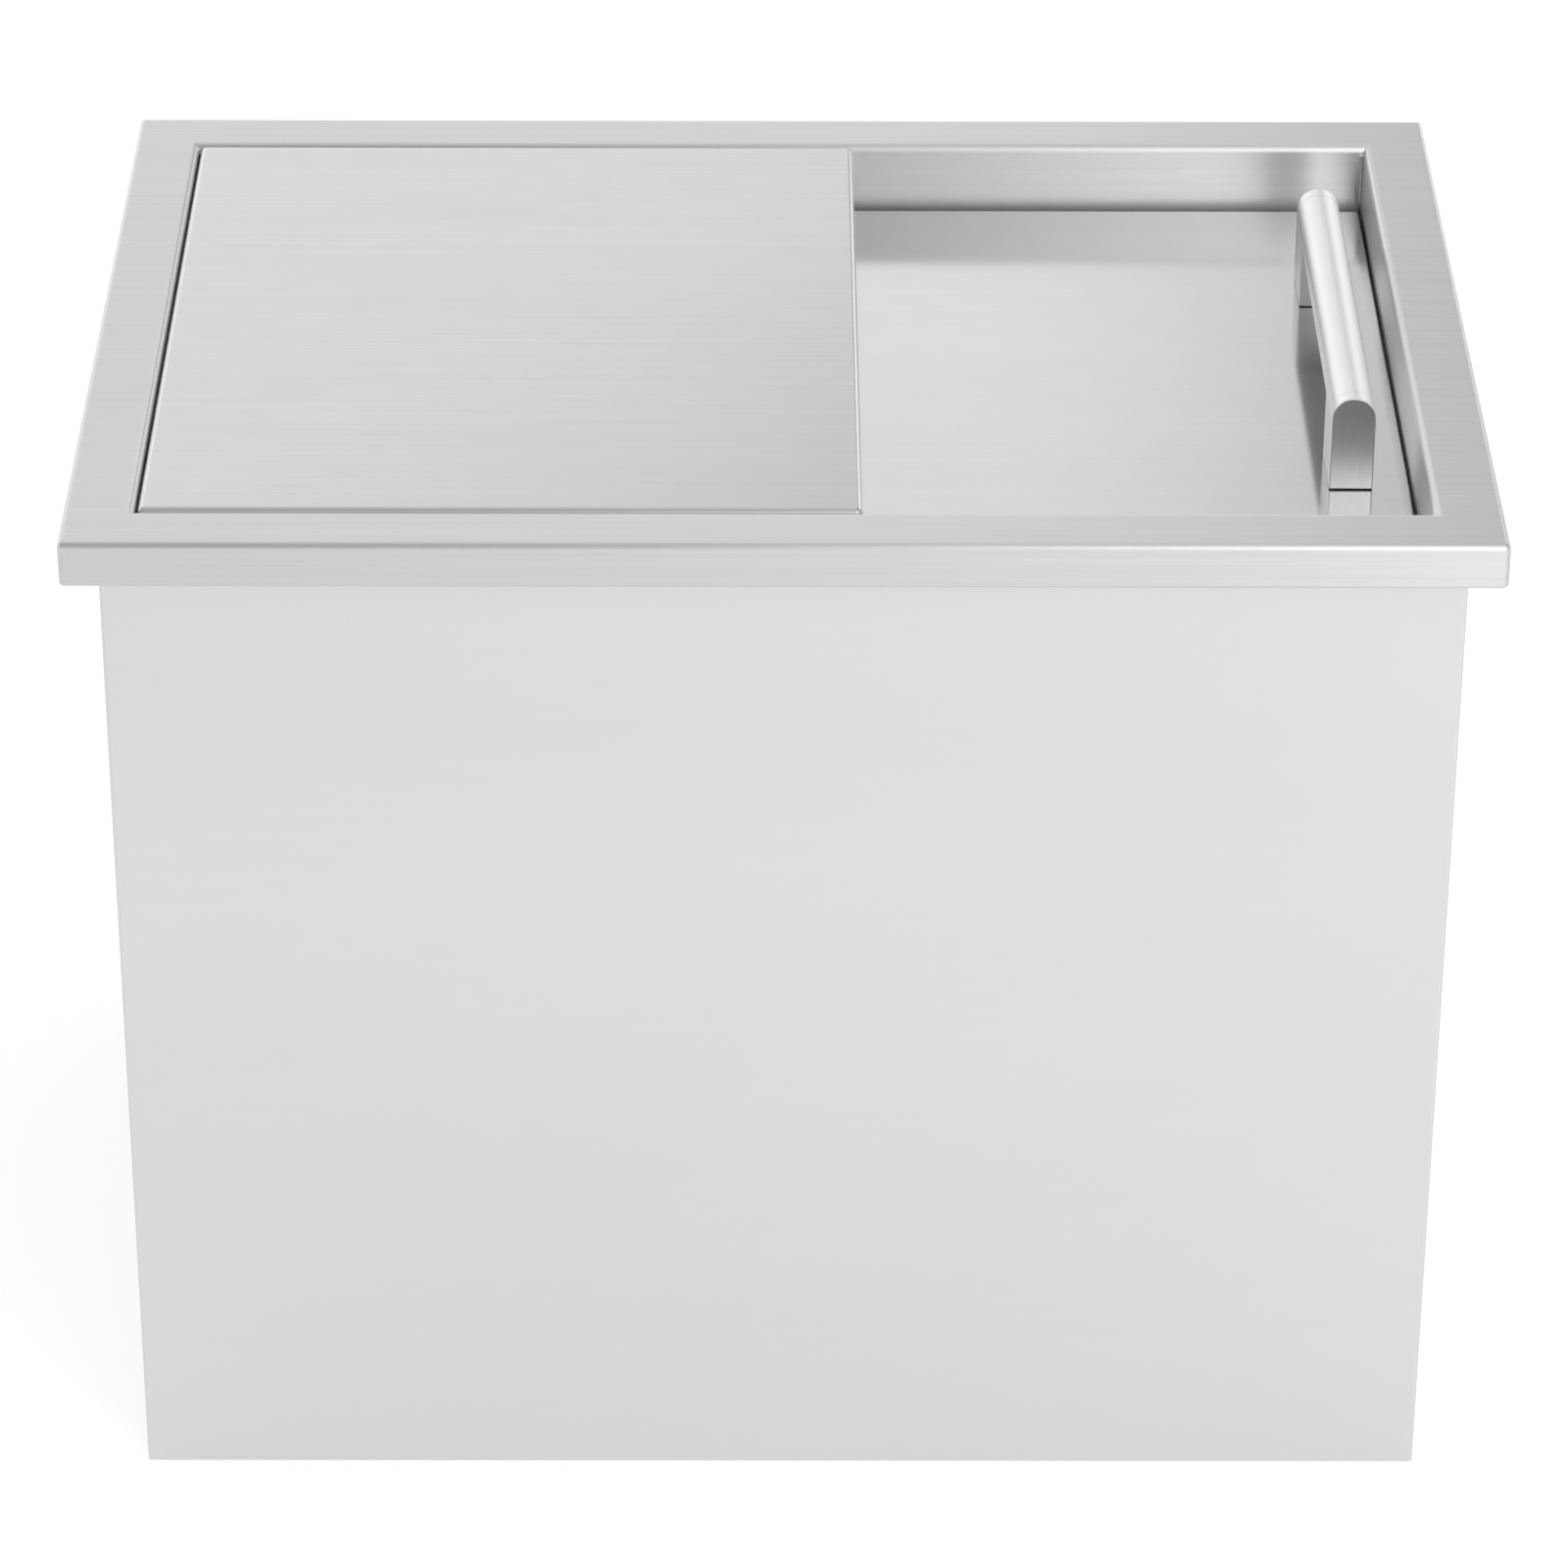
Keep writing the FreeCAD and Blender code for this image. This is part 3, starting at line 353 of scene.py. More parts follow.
brushedSheet = sheetFinish("brushedSheet", brushedLook)
rimSheet = sheetFinish("rimSheet", rimLook)
lidSheet = sheetFinish("lidSheet", lidLook)
bodySheet = sheetFinish("bodySheet", bodyLook)
tubSheet = sheetFinish("tubSheet", tubLook)
barSheet = sheetFinish("barSheet", barLook)
gripSteel = sheetFinish("gripSteel", gripLook)
undersidePaintedLight = sheetFinish("undersidePaintedLight", undersidePaintedLightLook)
capSteel = sheetFinish("capSteel", capLook)
legSteel = sheetFinish("legSteel", legLook)

turnedLook = {
    "ringMask": (0.25, 0.75), "toneRange": 0.1, "smoother": 0.05, "coarser": 0.08,
    "smudgeSize": 30.0, "smudgeTone": 0.2, "bump": 0.2, "depth": 0.1 * mm,
}


def turnedFinish(name, tone, rough, centre):
    # steel with the rings of a lathe
    finish, tree, shader = newFinish(name, 1.0)
    rings = useGroup(tree, turnedRings, Centre=centre)
    wander = useGroup(tree, sheetWander, Size=turnedLook["smudgeSize"])
    mask = spread(tree, rings["Tone"], *turnedLook["ringMask"], *noiseSpan)
    mask = calc(tree, "MULTIPLY_ADD", wander["Smudge"], -turnedLook["smudgeTone"], mask)
    setTone(tree, shader, mask, grey(tone - turnedLook["toneRange"]), grey(tone + turnedLook["toneRange"]))
    smooth, coarse = rough - turnedLook["smoother"], rough + turnedLook["coarser"]
    feed(tree, shader.inputs["Roughness"], spread(tree, rings["Tone"], smooth, coarse, *noiseSpan))
    setBump(tree, shader, rings["Height"], turnedLook["bump"], turnedLook["depth"])
    return finish


weldLook = {
    "size": 160.0, "dark": (0.58, 0.56, 0.53), "light": (0.80, 0.79, 0.77), "rough": (0.22, 0.4),
    "bump": 0.4, "depth": 0.3 * mm,
}


def weldFinish():
    # heat-tinted bead, brushed clean
    finish, tree, shader = newFinish("weldBead", 1.0)
    wander = useGroup(tree, sheetWander, Size=weldLook["size"])
    setTone(tree, shader, wander["Cloud"], weldLook["dark"], weldLook["light"])
    feed(tree, shader.inputs["Roughness"], spread(tree, wander["Smudge"], *weldLook["rough"]))
    setBump(tree, shader, wander["Wave"], weldLook["bump"], weldLook["depth"])
    return finish


zincLook = {
    "flakes": 90.0, "dark": (0.46, 0.47, 0.48), "light": (0.66, 0.67, 0.68), "rough": (0.36, 0.6),
    "ripple": 300.0, "bump": 0.15, "depth": 0.3 * mm,
}


def zincFinish():
    # galvanised sheet with its spangle
    finish, tree, shader = newFinish("zincSheet", 1.0)
    coords = addNode(tree, "TexCoord").outputs["Object"]
    flakes = addNode(tree, "TexVoronoi", {"Vector": coords, "Scale": zincLook["flakes"], "Randomness": 1.0})
    shade = addNode(tree, "SeparateColor", {0: flakes.outputs["Color"]}).outputs[0]
    setTone(tree, shader, shade, zincLook["dark"], zincLook["light"])
    feed(tree, shader.inputs["Roughness"], spread(tree, shade, *zincLook["rough"]))
    setBump(tree, shader, noise(tree, coords, zincLook["ripple"]), zincLook["bump"], zincLook["depth"])
    return finish


mouldedLook = {"specular": 0.4, "roughRange": 0.07, "bump": 0.25, "depth": 0.2 * mm}


def mouldedFinish(name, dark, light, rough, size):
    # moulded plastic or rubber
    finish, tree, shader = newFinish(name, 0.0, Specular_IOR_Level=mouldedLook["specular"])
    grain = useGroup(tree, mouldGrain, Size=size)
    setTone(tree, shader, grain["Tone"], dark, light)
    smooth, coarse = rough - mouldedLook["roughRange"], rough + mouldedLook["roughRange"]
    feed(tree, shader.inputs["Roughness"], spread(tree, grain["Tone"], smooth, coarse, *noiseSpan))
    setBump(tree, shader, grain["Height"], mouldedLook["bump"], mouldedLook["depth"])
    return finish


foamLook = {
    "cells": 600.0, "dark": (0.74, 0.66, 0.44), "light": (0.90, 0.85, 0.66), "rough": (0.75, 0.95),
    "bump": 0.5, "depth": 0.5 * mm,
}


def foamFinish():
    # cut rigid foam with its cells
    finish, tree, shader = newFinish("rigidFoam", 0.0)
    coords = addNode(tree, "TexCoord").outputs["Object"]
    cells = addNode(tree, "TexVoronoi", {"Vector": coords, "Scale": foamLook["cells"]}).outputs["Distance"]
    setTone(tree, shader, cells, foamLook["dark"], foamLook["light"])
    feed(tree, shader.inputs["Roughness"], spread(tree, cells, *foamLook["rough"]))
    setBump(tree, shader, cells, foamLook["bump"], foamLook["depth"])
    return finish


drainLow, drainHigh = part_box("drain_body")
drainCentre = (drainLow + drainHigh) / 2
fastenerSteel = turnedFinish("fastenerSteel", tone=0.62, rough=0.3, centre=(0, 0, 0))
drainSteel = turnedFinish("drainSteel", tone=0.66, rough=0.22, centre=drainCentre)
weldBead = weldFinish()
zincSheet = zincFinish()
drainPlastic = mouldedFinish("drainPlastic", dark=(0.60, 0.60, 0.58), light=(0.70, 0.70, 0.68),
                             rough=0.42, size=1200.0)
blackRubber = mouldedFinish("blackRubber", dark=grey(0.012), light=grey(0.03), rough=0.62, size=900.0)
whiteNylon = mouldedFinish("whiteNylon", dark=(0.74, 0.74, 0.72), light=(0.84, 0.84, 0.82),
                           rough=0.4, size=700.0)
rigidFoam = foamFinish()
print("finishes:", len(bpy.data.materials), "materials,", len(bpy.data.node_groups), "groups")


# Mesh tools

near = 0.01 * mm  # places closer than this count as one
mergeGap = 0.002 * mm  # vertices closer than this become one
sharpTurn = 0.5  # two faces that meet at more than this angle make a crease
cornerSigns = ((-1, -1), (1, -1), (1, 1), (-1, 1))


def onlyVerts(geom):
    return [part for part in geom if isinstance(part, bmesh.types.BMVert)]


def onlyEdges(geom):
    return [part for part in geom if isinstance(part, bmesh.types.BMEdge)]


def edgesOf(verts):
    return list(dict.fromkeys(edge for vert in verts for edge in vert.link_edges))


def edgesAt(bm, axis, place):
    # edges that lie at one place along an axis
    def lies(vert):
        return abs(getattr(vert.co, axis) - place) < near

    return [edge for edge in bm.edges if all(lies(vert) for vert in edge.verts)]


def uprights(bm, low, high):
    # edges that reach from one height to another
    found = []
    for edge in bm.edges:
        foot, top = sorted(vert.co.z for vert in edge.verts)
        if abs(foot - low) < near and abs(top - high) < near:
            found.append(edge)
    return found


def creases(bm, z):
    # edges at a height, where two faces meet at an angle
    return [edge for edge in edgesAt(bm, "z", z) if edge.calc_face_angle(0.0) > sharpTurn]


def bevelEdges(bm, edges, radius, steps):
    # rounds edges and marks what it makes as a fold, for the polish and the painted light on bends
    fold = bm.verts.layers.float.get("fold") or bm.verts.layers.float.new("fold")
    made = bmesh.ops.bevel(bm, geom=list(edges), offset=radius, offset_type="OFFSET", segments=steps,
                           profile=0.5, affect="EDGES", clamp_overlap=True, material=-1)
    for face in made["faces"]:
        for vert in face.verts:
            vert[fold] = 1.0


def roundVerts(bm, verts, radius, steps):
    bmesh.ops.bevel(bm, geom=list(verts), offset=radius, offset_type="OFFSET", segments=steps,
                    profile=0.5, affect="VERTICES", material=-1)


def roundedLoop(bm, half, z, corner=None, steps=5, centre=(0.0, 0.0)):
    # a level rectangle of edges, its corners rounded unless the corner is none
    before = set(bm.edges)
    verts = [bm.verts.new((centre[0] + a * half[0], centre[1] + b * half[1], z)) for a, b in cornerSigns]
    for index, vert in enumerate(verts):
        bm.edges.new((vert, verts[(index + 1) % 4]))
    if corner:
        roundVerts(bm, verts, corner, steps)
    return [edge for edge in bm.edges if edge not in before]


def ringLoop(bm, radius, z, steps, centre, capped=False):
    # a level ring of edges
    place = Matrix.Translation((*centre, z))
    ring = bmesh.ops.create_circle(bm, segments=steps, radius=radius, cap_ends=capped, matrix=place)
    return edgesOf(ring["verts"])


def foldLoop(bm, edges, half=None, z=None, centre=(0.0, 0.0)):
    # pulls a new loop out of a loop, to another half width and depth or another height
    made = bmesh.ops.extrude_edge_only(bm, edges=edges)["geom"]
    verts = onlyVerts(made)
    fresh = set(verts)
    if half is not None:
        wide = max(vert.co.x for vert in verts) - centre[0]
        deep = max(vert.co.y for vert in verts) - centre[1]
        middle = Matrix.Translation((-centre[0], -centre[1], 0))
        bmesh.ops.scale(bm, vec=(half[0] / wide, half[1] / deep, 1), space=middle, verts=verts)
    if z is not None:
        bmesh.ops.translate(bm, vec=(0, 0, z - verts[0].co.z), verts=verts)
    return [edge for edge in onlyEdges(made) if fresh.issuperset(edge.verts)]


def faceOutwards(bm, way):
    # the skin faces the way that its part furthest that way should face
    way = Vector(way)

    def reach(face):
        return round(face.calc_center_median().dot(way), 6), face.calc_area()

    bmesh.ops.recalc_face_normals(bm, faces=bm.faces)
    if max(bm.faces, key=reach).normal.dot(way) < 0:
        bmesh.ops.reverse_faces(bm, faces=bm.faces)


def thicken(bm, wall):
    # a wall behind the skin that is there
    bmesh.ops.solidify(bm, geom=list(bm.faces), thickness=wall)


def easedBlock(bm, low, high, radius, steps=3):
    # a block between two corners, all its edges eased
    verts = bmesh.ops.create_cube(bm, size=1.0)["verts"]
    bmesh.ops.scale(bm, vec=high - low, verts=verts)
    bmesh.ops.translate(bm, vec=(low + high) / 2, verts=verts)
    bevelEdges(bm, edgesOf(verts), radius, steps)


def turnedPart(bm, profile, closed=True, steps=72):
    # spins an outline of radius and height round the Z axis, and gives the new vertices
    before = set(bm.verts)
    verts = [bm.verts.new((radius, 0, z)) for radius, z in profile]
    edges = [bm.edges.new(pair) for pair in zip(verts, verts[1:])]
    if closed:
        edges.append(bm.edges.new((verts[-1], verts[0])))
    bmesh.ops.spin(bm, geom=verts + edges, cent=(0, 0, 0), axis=(0, 0, 1), dvec=(0, 0, 0),
                   angle=2 * math.pi, steps=steps, use_merge=True)
    made = [vert for vert in bm.verts if vert not in before]
    bmesh.ops.remove_doubles(bm, verts=made, dist=mergeGap)
    made = [vert for vert in bm.verts if vert not in before]
    faces = {face for vert in made for face in vert.link_faces}
    bmesh.ops.recalc_face_normals(bm, faces=list(faces))
    return made


def layGrain(bm, look):
    # a map whose first axis runs across the grain, the way that the gloss stretches
    grid = bm.loops.layers.uv.new("acrossGrain")
    bm.normal_update()
    for face in bm.faces:
        grain = Vector(look["endAlong"] if abs(face.normal.x) > endFace else look["along"])
        across = face.normal.cross(grain)
        for loop in face.loops:
            loop[grid].uv = (loop.vert.co.dot(across), loop.vert.co.dot(grain))


def dressPiece(bm, name, body, finish, replaced=(), crease=35.0, other=None, isOther=None):
    # the bmesh as a finished piece that rides on its body, some of its faces in another finish
    if other:
        bm.normal_update()
        for face in bm.faces:
            face.material_index = int(isOther(face))
    mesh = bpy.data.meshes.new(name)
    bm.to_mesh(mesh)
    bm.free()
    mesh.shade_smooth()
    mesh.set_sharp_from_angle(angle=math.radians(crease))
    mesh.materials.append(finish)
    if other:
        mesh.materials.append(other)
    piece = bpy.data.objects.new(name, mesh)
    bpy.context.scene.collection.objects.link(piece)
    even = piece.modifiers.new("evenNormals", "WEIGHTED_NORMAL")
    even.keep_sharp = True
    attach(piece, body)
    if replaced:
        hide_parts(*replaced)


def blockPiece(node, name, body, finish, edge):
    # an eased block in the place of a node
    bm = bmesh.new()
    easedBlock(bm, *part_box(node), edge)
    dressPiece(bm, name, body, finish, [node])


# Rim frame: return lip, drop edge, counter flange and the collar of the mouth, folded from one sheet

rim = {
    "sheet": 1.0 * mm, "drop": 23.2 * mm, "flange": 34.0 * mm, "lip": 12.0 * mm,
    "bend": 3.0 * mm, "bendSteps": 6, "mouthBend": 4.0 * mm, "mouthSteps": 8,
    "hemBend": 2.2 * mm, "hemSteps": 5,
}
rimLow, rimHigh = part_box("rim_frame")
rimHalf = (rimHigh.x, rimHigh.y)
mouthHalf = (rimHigh.x - rim["flange"], rimHigh.y - rim["flange"])
hemZ = rimHigh.z - rim["drop"]


def makeRim():
    bm = bmesh.new()
    lip = roundedLoop(bm, [size - rim["lip"] for size in rimHalf], hemZ)
    hem = foldLoop(bm, lip, rimHalf)
    shoulder = foldLoop(bm, hem, None, rimHigh.z)
    mouth = foldLoop(bm, shoulder, mouthHalf)
    foldLoop(bm, mouth, None, rimLow.z)
    faceOutwards(bm, (0, 0, 1))
    bevelEdges(bm, uprights(bm, hemZ, rimHigh.z) + shoulder, rim["bend"], rim["bendSteps"])
    bevelEdges(bm, mouth, rim["mouthBend"], rim["mouthSteps"])
    bevelEdges(bm, creases(bm, hemZ), rim["hemBend"], rim["hemSteps"])
    thicken(bm, rim["sheet"])
    layGrain(bm, rimLook)
    dressPiece(bm, "rim_sheet", "cabinet", rimSheet, ["rim_frame"])


# Welded inner corners of the collar

weld = {
    "radius": 0.9 * mm, "ripple": 0.86, "pitch": 1.6 * mm, "sides": 10,
    "inset": 0.7 * mm, "clear": 2.0 * mm, "crease": 60.0,
}


def makeWelds():
    bm = bmesh.new()
    low, high = rimLow.z + weld["clear"], rimHigh.z - rim["mouthBend"]
    rings = int((high - low) / weld["pitch"])
    for a, b in cornerSigns:
        place = (a * (mouthHalf[0] - weld["inset"]), b * (mouthHalf[1] - weld["inset"]))
        loop = ringLoop(bm, weld["radius"], low, weld["sides"], place, capped=True)
        for ring in range(1, rings + 1):
            radius = weld["radius"] * (1.0 if ring % 2 == 0 else weld["ripple"])
            loop = foldLoop(bm, loop, (radius, radius), low + ring * weld["pitch"], place)
        bmesh.ops.edgeloop_fill(bm, edges=loop)
    bmesh.ops.recalc_face_normals(bm, faces=bm.faces)
    dressPiece(bm, "rim_corner_welds", "cabinet", weldBead, crease=weld["crease"])


makeRim()
makeWelds()
print("rim: frame and corner welds")


# Body: front and sides in one wrap with a foot to stand on, back panel and its rivets

shell = {
    "sheet": 0.8 * mm, "bend": 2.0 * mm, "bendSteps": 5,
    "lap": 15.0 * mm, "foot": 15.0 * mm, "notch": 3.0 * mm,
    "longEdge": 150.0 * mm,  # bottom edges longer than this get a foot
}
shellLow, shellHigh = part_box("outer_shell")


def turnFoot(bm, edge, inward):
    # folds a foot flange in from a bottom edge, its ends cut back
    verts = onlyVerts(bmesh.ops.extrude_edge_only(bm, edges=[edge])["geom"])
    middle = (verts[0].co + verts[1].co) / 2
    length = (verts[0].co - verts[1].co).length
    short = (length - 2 * (shell["foot"] + shell["notch"])) / length
    bmesh.ops.scale(bm, vec=(short, short, 1), space=Matrix.Translation(-middle), verts=verts)
    bmesh.ops.translate(bm, vec=Vector(inward) * shell["foot"], verts=verts)


def makeShell():
    bm = bmesh.new()
    wide, front, rear = shellHigh.x, shellLow.y, shellHigh.y
    lapped = wide - shell["lap"]
    outline = ((-lapped, rear), (-wide, rear), (-wide, front), (wide, front), (wide, rear), (lapped, rear))
    verts = [bm.verts.new((x, y, shellLow.z)) for x, y in outline]
    for pair in zip(verts, verts[1:]):
        bm.edges.new(pair)
    roundVerts(bm, verts[1:-1], shell["bend"], shell["bendSteps"])
    bottom = list(bm.edges)
    foldLoop(bm, bottom, None, shellHigh.z)
    faceOutwards(bm, (0, -1, 0))
    for edge in bottom:
        if edge.calc_length() > shell["longEdge"]:
            x = (edge.verts[0].co.x + edge.verts[1].co.x) / 2
            turnFoot(bm, edge, (0, 1, 0) if abs(x) < wide / 2 else (-math.copysign(1, x), 0, 0))
    faceOutwards(bm, (0, -1, 0))
    thicken(bm, shell["sheet"])
    dressPiece(bm, "shell_wrap", "cabinet", bodySheet, ["outer_shell"])


def makeBackPanel():
    low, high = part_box("back_panel")
    bm = bmesh.new()
    corners = ((low.x, low.z), (high.x, low.z), (high.x, high.z), (low.x, high.z))
    bm.faces.new([bm.verts.new((x, high.y, z)) for x, z in corners])
    turnFoot(bm, edgesAt(bm, "z", low.z)[0], (0, -1, 0))
    faceOutwards(bm, (0, 1, 0))
    thicken(bm, shell["sheet"])
    dressPiece(bm, "rear_panel", "cabinet", bodySheet, ["back_panel"])


rivet = {
    "perSide": 5, "radius": 3.2 * mm, "steps": 28,
    # head outline: radius and height in millimetres, from the rim to the broken-off pin in the middle
    "head": ((3.2, 0.0), (3.2, 0.2), (3.0, 0.5), (2.5, 0.85), (1.9, 1.08), (1.3, 1.18), (0.95, 1.18),
             (0.9, 0.7), (0.0, 0.62)),
}


def makeRivets():
    low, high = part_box("back_rivets")
    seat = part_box("back_panel")[1].y
    bm = bmesh.new()
    outline = [(radius * mm, height * mm) for radius, height in rivet["head"]]
    step = (high.z - low.z - 2 * rivet["radius"]) / (rivet["perSide"] - 1)
    for x in (low.x + rivet["radius"], high.x - rivet["radius"]):
        for row in range(rivet["perSide"]):
            verts = turnedPart(bm, outline, closed=False, steps=rivet["steps"])
            bmesh.ops.rotate(bm, matrix=Matrix.Rotation(-math.pi / 2, 3, "X"), verts=verts)
            place = (x, seat, low.z + rivet["radius"] + row * step)
            bmesh.ops.translate(bm, vec=place, verts=verts)
    bmesh.ops.holes_fill(bm, edges=[edge for edge in bm.edges if edge.is_boundary])
    bmesh.ops.recalc_face_normals(bm, faces=bm.faces)
    dressPiece(bm, "rear_rivets", "cabinet", fastenerSteel, ["back_rivets"])


makeShell()
makeBackPanel()
makeRivets()
print("body: wrap, back panel and rivets")


# Tub: ledge for the lid, coved walls and the sump round the drain

tub = {
    "sheet": 1.0 * mm, "ledge": 10.0 * mm, "ledgeBend": 2.0 * mm, "bendSteps": 4, "ledgeCorner": 2.5 * mm,
    "corner": 20.0 * mm, "cornerSteps": 8, "cove": 10.0 * mm, "coveSteps": 7,
    "sump": 48.0 * mm, "sumpDepth": 4.0 * mm, "sumpSteps": 72, "hole": 24.2 * mm,
    "soft": 1.2 * mm, "softMiddle": 0.3,  # round of the sump's edges, and how far in its middle lies
}


def makeTub():
    low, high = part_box("liner_tub")
    sumpZ = low.z + tub["sheet"]
    floorZ = sumpZ + tub["sumpDepth"]
    half = [size - tub["ledge"] for size in mouthHalf]
    bm = bmesh.new()
    outer = roundedLoop(bm, mouthHalf, high.z, tub["ledgeCorner"], tub["cornerSteps"])
    inner = roundedLoop(bm, half, high.z, tub["corner"], tub["cornerSteps"])
    bmesh.ops.bridge_loops(bm, edges=outer + inner)
    loop = foldLoop(bm, inner, None, floorZ + tub["cove"])
    for step in range(1, tub["coveSteps"] + 1):
        turn = math.pi / 2 * step / tub["coveSteps"]
        inset = tub["cove"] * (1 - math.cos(turn))
        height = tub["cove"] * (1 - math.sin(turn))
        loop = foldLoop(bm, loop, [size - inset for size in half], floorZ + height)
    place = (drainCentre.x, drainCentre.y)
    soft, middle = tub["soft"], tub["soft"] * tub["softMiddle"]
    ring = ringLoop(bm, tub["sump"] + soft, floorZ, tub["sumpSteps"], place)
    bmesh.ops.triangle_fill(bm, edges=loop + ring, use_beauty=True, use_dissolve=False, normal=(0, 0, 1))
    steps = ((tub["sump"] + middle, floorZ - middle), (tub["sump"], floorZ - soft),
             (tub["sump"], sumpZ + soft), (tub["sump"] - middle, sumpZ + middle),
             (tub["sump"] - soft, sumpZ), (tub["hole"], sumpZ))
    for radius, z in steps:
        ring = foldLoop(bm, ring, (radius, radius), z, place)
    faceOutwards(bm, (0, 0, 1))
    bevelEdges(bm, inner, tub["ledgeBend"], tub["bendSteps"])
    thicken(bm, tub["sheet"])

    def onLedge(face):
        return face.calc_center_median().z > high.z - tub["ledgeBend"]

    dressPiece(bm, "tub_sheet", "cabinet", tubSheet, ["liner_tub"],
               other=barSheet, isOther=onLedge)


makeTub()
print("tub made")


# Covers: sheets folded down on four sides

coverPan = {"corner": 3.0 * mm, "cornerSteps": 6, "bend": 3.0 * mm, "bendSteps": 8, "sheet": 1.0 * mm}
lidPan = {"corner": 2.0 * mm, "cornerSteps": 6, "bend": 1.5 * mm, "bendSteps": 6, "sheet": 1.0 * mm}


def foldedPan(node, name, body, finish, pan):
    low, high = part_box(node)
    middle = (low + high) / 2
    half = ((high.x - low.x) / 2, (high.y - low.y) / 2)
    bm = bmesh.new()
    foot = roundedLoop(bm, half, low.z, pan["corner"], pan["cornerSteps"], (middle.x, middle.y))
    top = foldLoop(bm, foot, None, high.z)
    bmesh.ops.edgeloop_fill(bm, edges=top)
    faceOutwards(bm, (0, 0, 1))
    bevelEdges(bm, top, pan["bend"], pan["bendSteps"])
    thicken(bm, pan["sheet"])
    dressPiece(bm, name, body, finish, [node])


# Bars under the cover, glides under the lid, and a black rubber strip on the left bar, a dark sheet that
# paints the shade of the gap there

bars = {"edge": 0.8 * mm}
gapShade = {"width": 4.0 * mm, "height": 1.1 * mm, "edge": 0.3 * mm}


# a black strip on top of the left bar, painted shade put where the gap only holds shade
def makeGapShade():
    low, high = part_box("cover_bar_left")
    bm = bmesh.new()
    easedBlock(bm, Vector((low.x, low.y, high.z)),
               Vector((low.x + gapShade["width"], high.y, high.z + gapShade["height"])), gapShade["edge"])
    dressPiece(bm, "gap_shade_strip", "cabinet", blackRubber)


foldedPan("cover_top_pan", "cover_sheet", "fixed_cover", brushedSheet, coverPan)
foldedPan("lid_top_pan", "lid_sheet", "sliding_lid", lidSheet, lidPan)
for side in ("front", "rear", "left"):
    blockPiece("cover_bar_" + side, "bar_" + side, "cabinet", barSheet, bars["edge"])
for side in ("front", "rear"):
    blockPiece("lid_glide_" + side, "glide_" + side, "sliding_lid", whiteNylon, bars["edge"])
makeGapShade()
print("covers: two pans, three bars, two glides, a seal")


# Handle: half-round bar on two legs, closed by arched caps

handle = {
    "archSteps": 32, "barEdge": 0.25 * mm, "barSteps": 2, "capEdge": 0.6 * mm, "capSteps": 4,
    "legEdge": 0.3 * mm,
    "flat": 0.9,  # a face whose normal leans this far one way lies flat to it
}


def archBlock(bm, low, high):
    # an upright block with a half-round top, between two corners
    radius = (high.x - low.x) / 2
    spring = high.z - radius
    start = bm.verts.new((high.x, low.y, spring))
    swept = bmesh.ops.spin(bm, geom=[start], cent=(low.x + radius, low.y, spring), axis=(0, -1, 0),
                           dvec=(0, 0, 0), angle=math.pi, steps=handle["archSteps"])
    ends = [start, onlyVerts(swept["geom_last"])[0]]
    feet = bmesh.ops.extrude_vert_indiv(bm, verts=ends)["verts"]
    bmesh.ops.translate(bm, vec=(0, 0, low.z - spring), verts=feet)
    bmesh.ops.contextual_create(bm, geom=feet)
    face = bmesh.ops.edgeloop_fill(bm, edges=list(bm.edges))["faces"]
    run = bmesh.ops.extrude_face_region(bm, geom=face)["geom"]
    bmesh.ops.translate(bm, vec=(0, high.y - low.y, 0), verts=onlyVerts(run))
    bmesh.ops.recalc_face_normals(bm, faces=bm.faces)


def makeGrip():
    low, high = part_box("handle_bar")
    bm = bmesh.new()
    archBlock(bm, low, high)
    edges = edgesAt(bm, "z", low.z) + edgesAt(bm, "y", low.y) + edgesAt(bm, "y", high.y)
    bevelEdges(bm, dict.fromkeys(edges), handle["barEdge"], handle["barSteps"])
    # the faces that face down take the lighter finish, painted light on the shaded underside
    dressPiece(bm, "grip_bar", "sliding_lid", gripSteel, ["handle_bar"],
               other=undersidePaintedLight, isOther=lambda face: face.normal.z < -handle["flat"])


def makeCap(side):
    node = "handle_cap_" + side
    low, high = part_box(node)
    outer, inner = (low.y, high.y) if side == "front" else (high.y, low.y)
    bm = bmesh.new()
    archBlock(bm, low, high)
    bevelEdges(bm, edgesAt(bm, "y", outer), handle["capEdge"], handle["capSteps"])
    bevelEdges(bm, edgesAt(bm, "y", inner), handle["barEdge"], handle["barSteps"])
    dressPiece(bm, "grip_cap_" + side, "sliding_lid", gripSteel, [node],
               other=capSteel, isOther=lambda face: abs(face.normal.y) > handle["flat"])


makeGrip()
for side in ("front", "rear"):
    makeCap(side)
    blockPiece("handle_leg_" + side, "grip_leg_" + side, "sliding_lid", legSteel,
               handle["legEdge"])
print("handle: bar, two caps, two legs")


# Drain: flanged body, tail for the hose, and the stopper with its knob

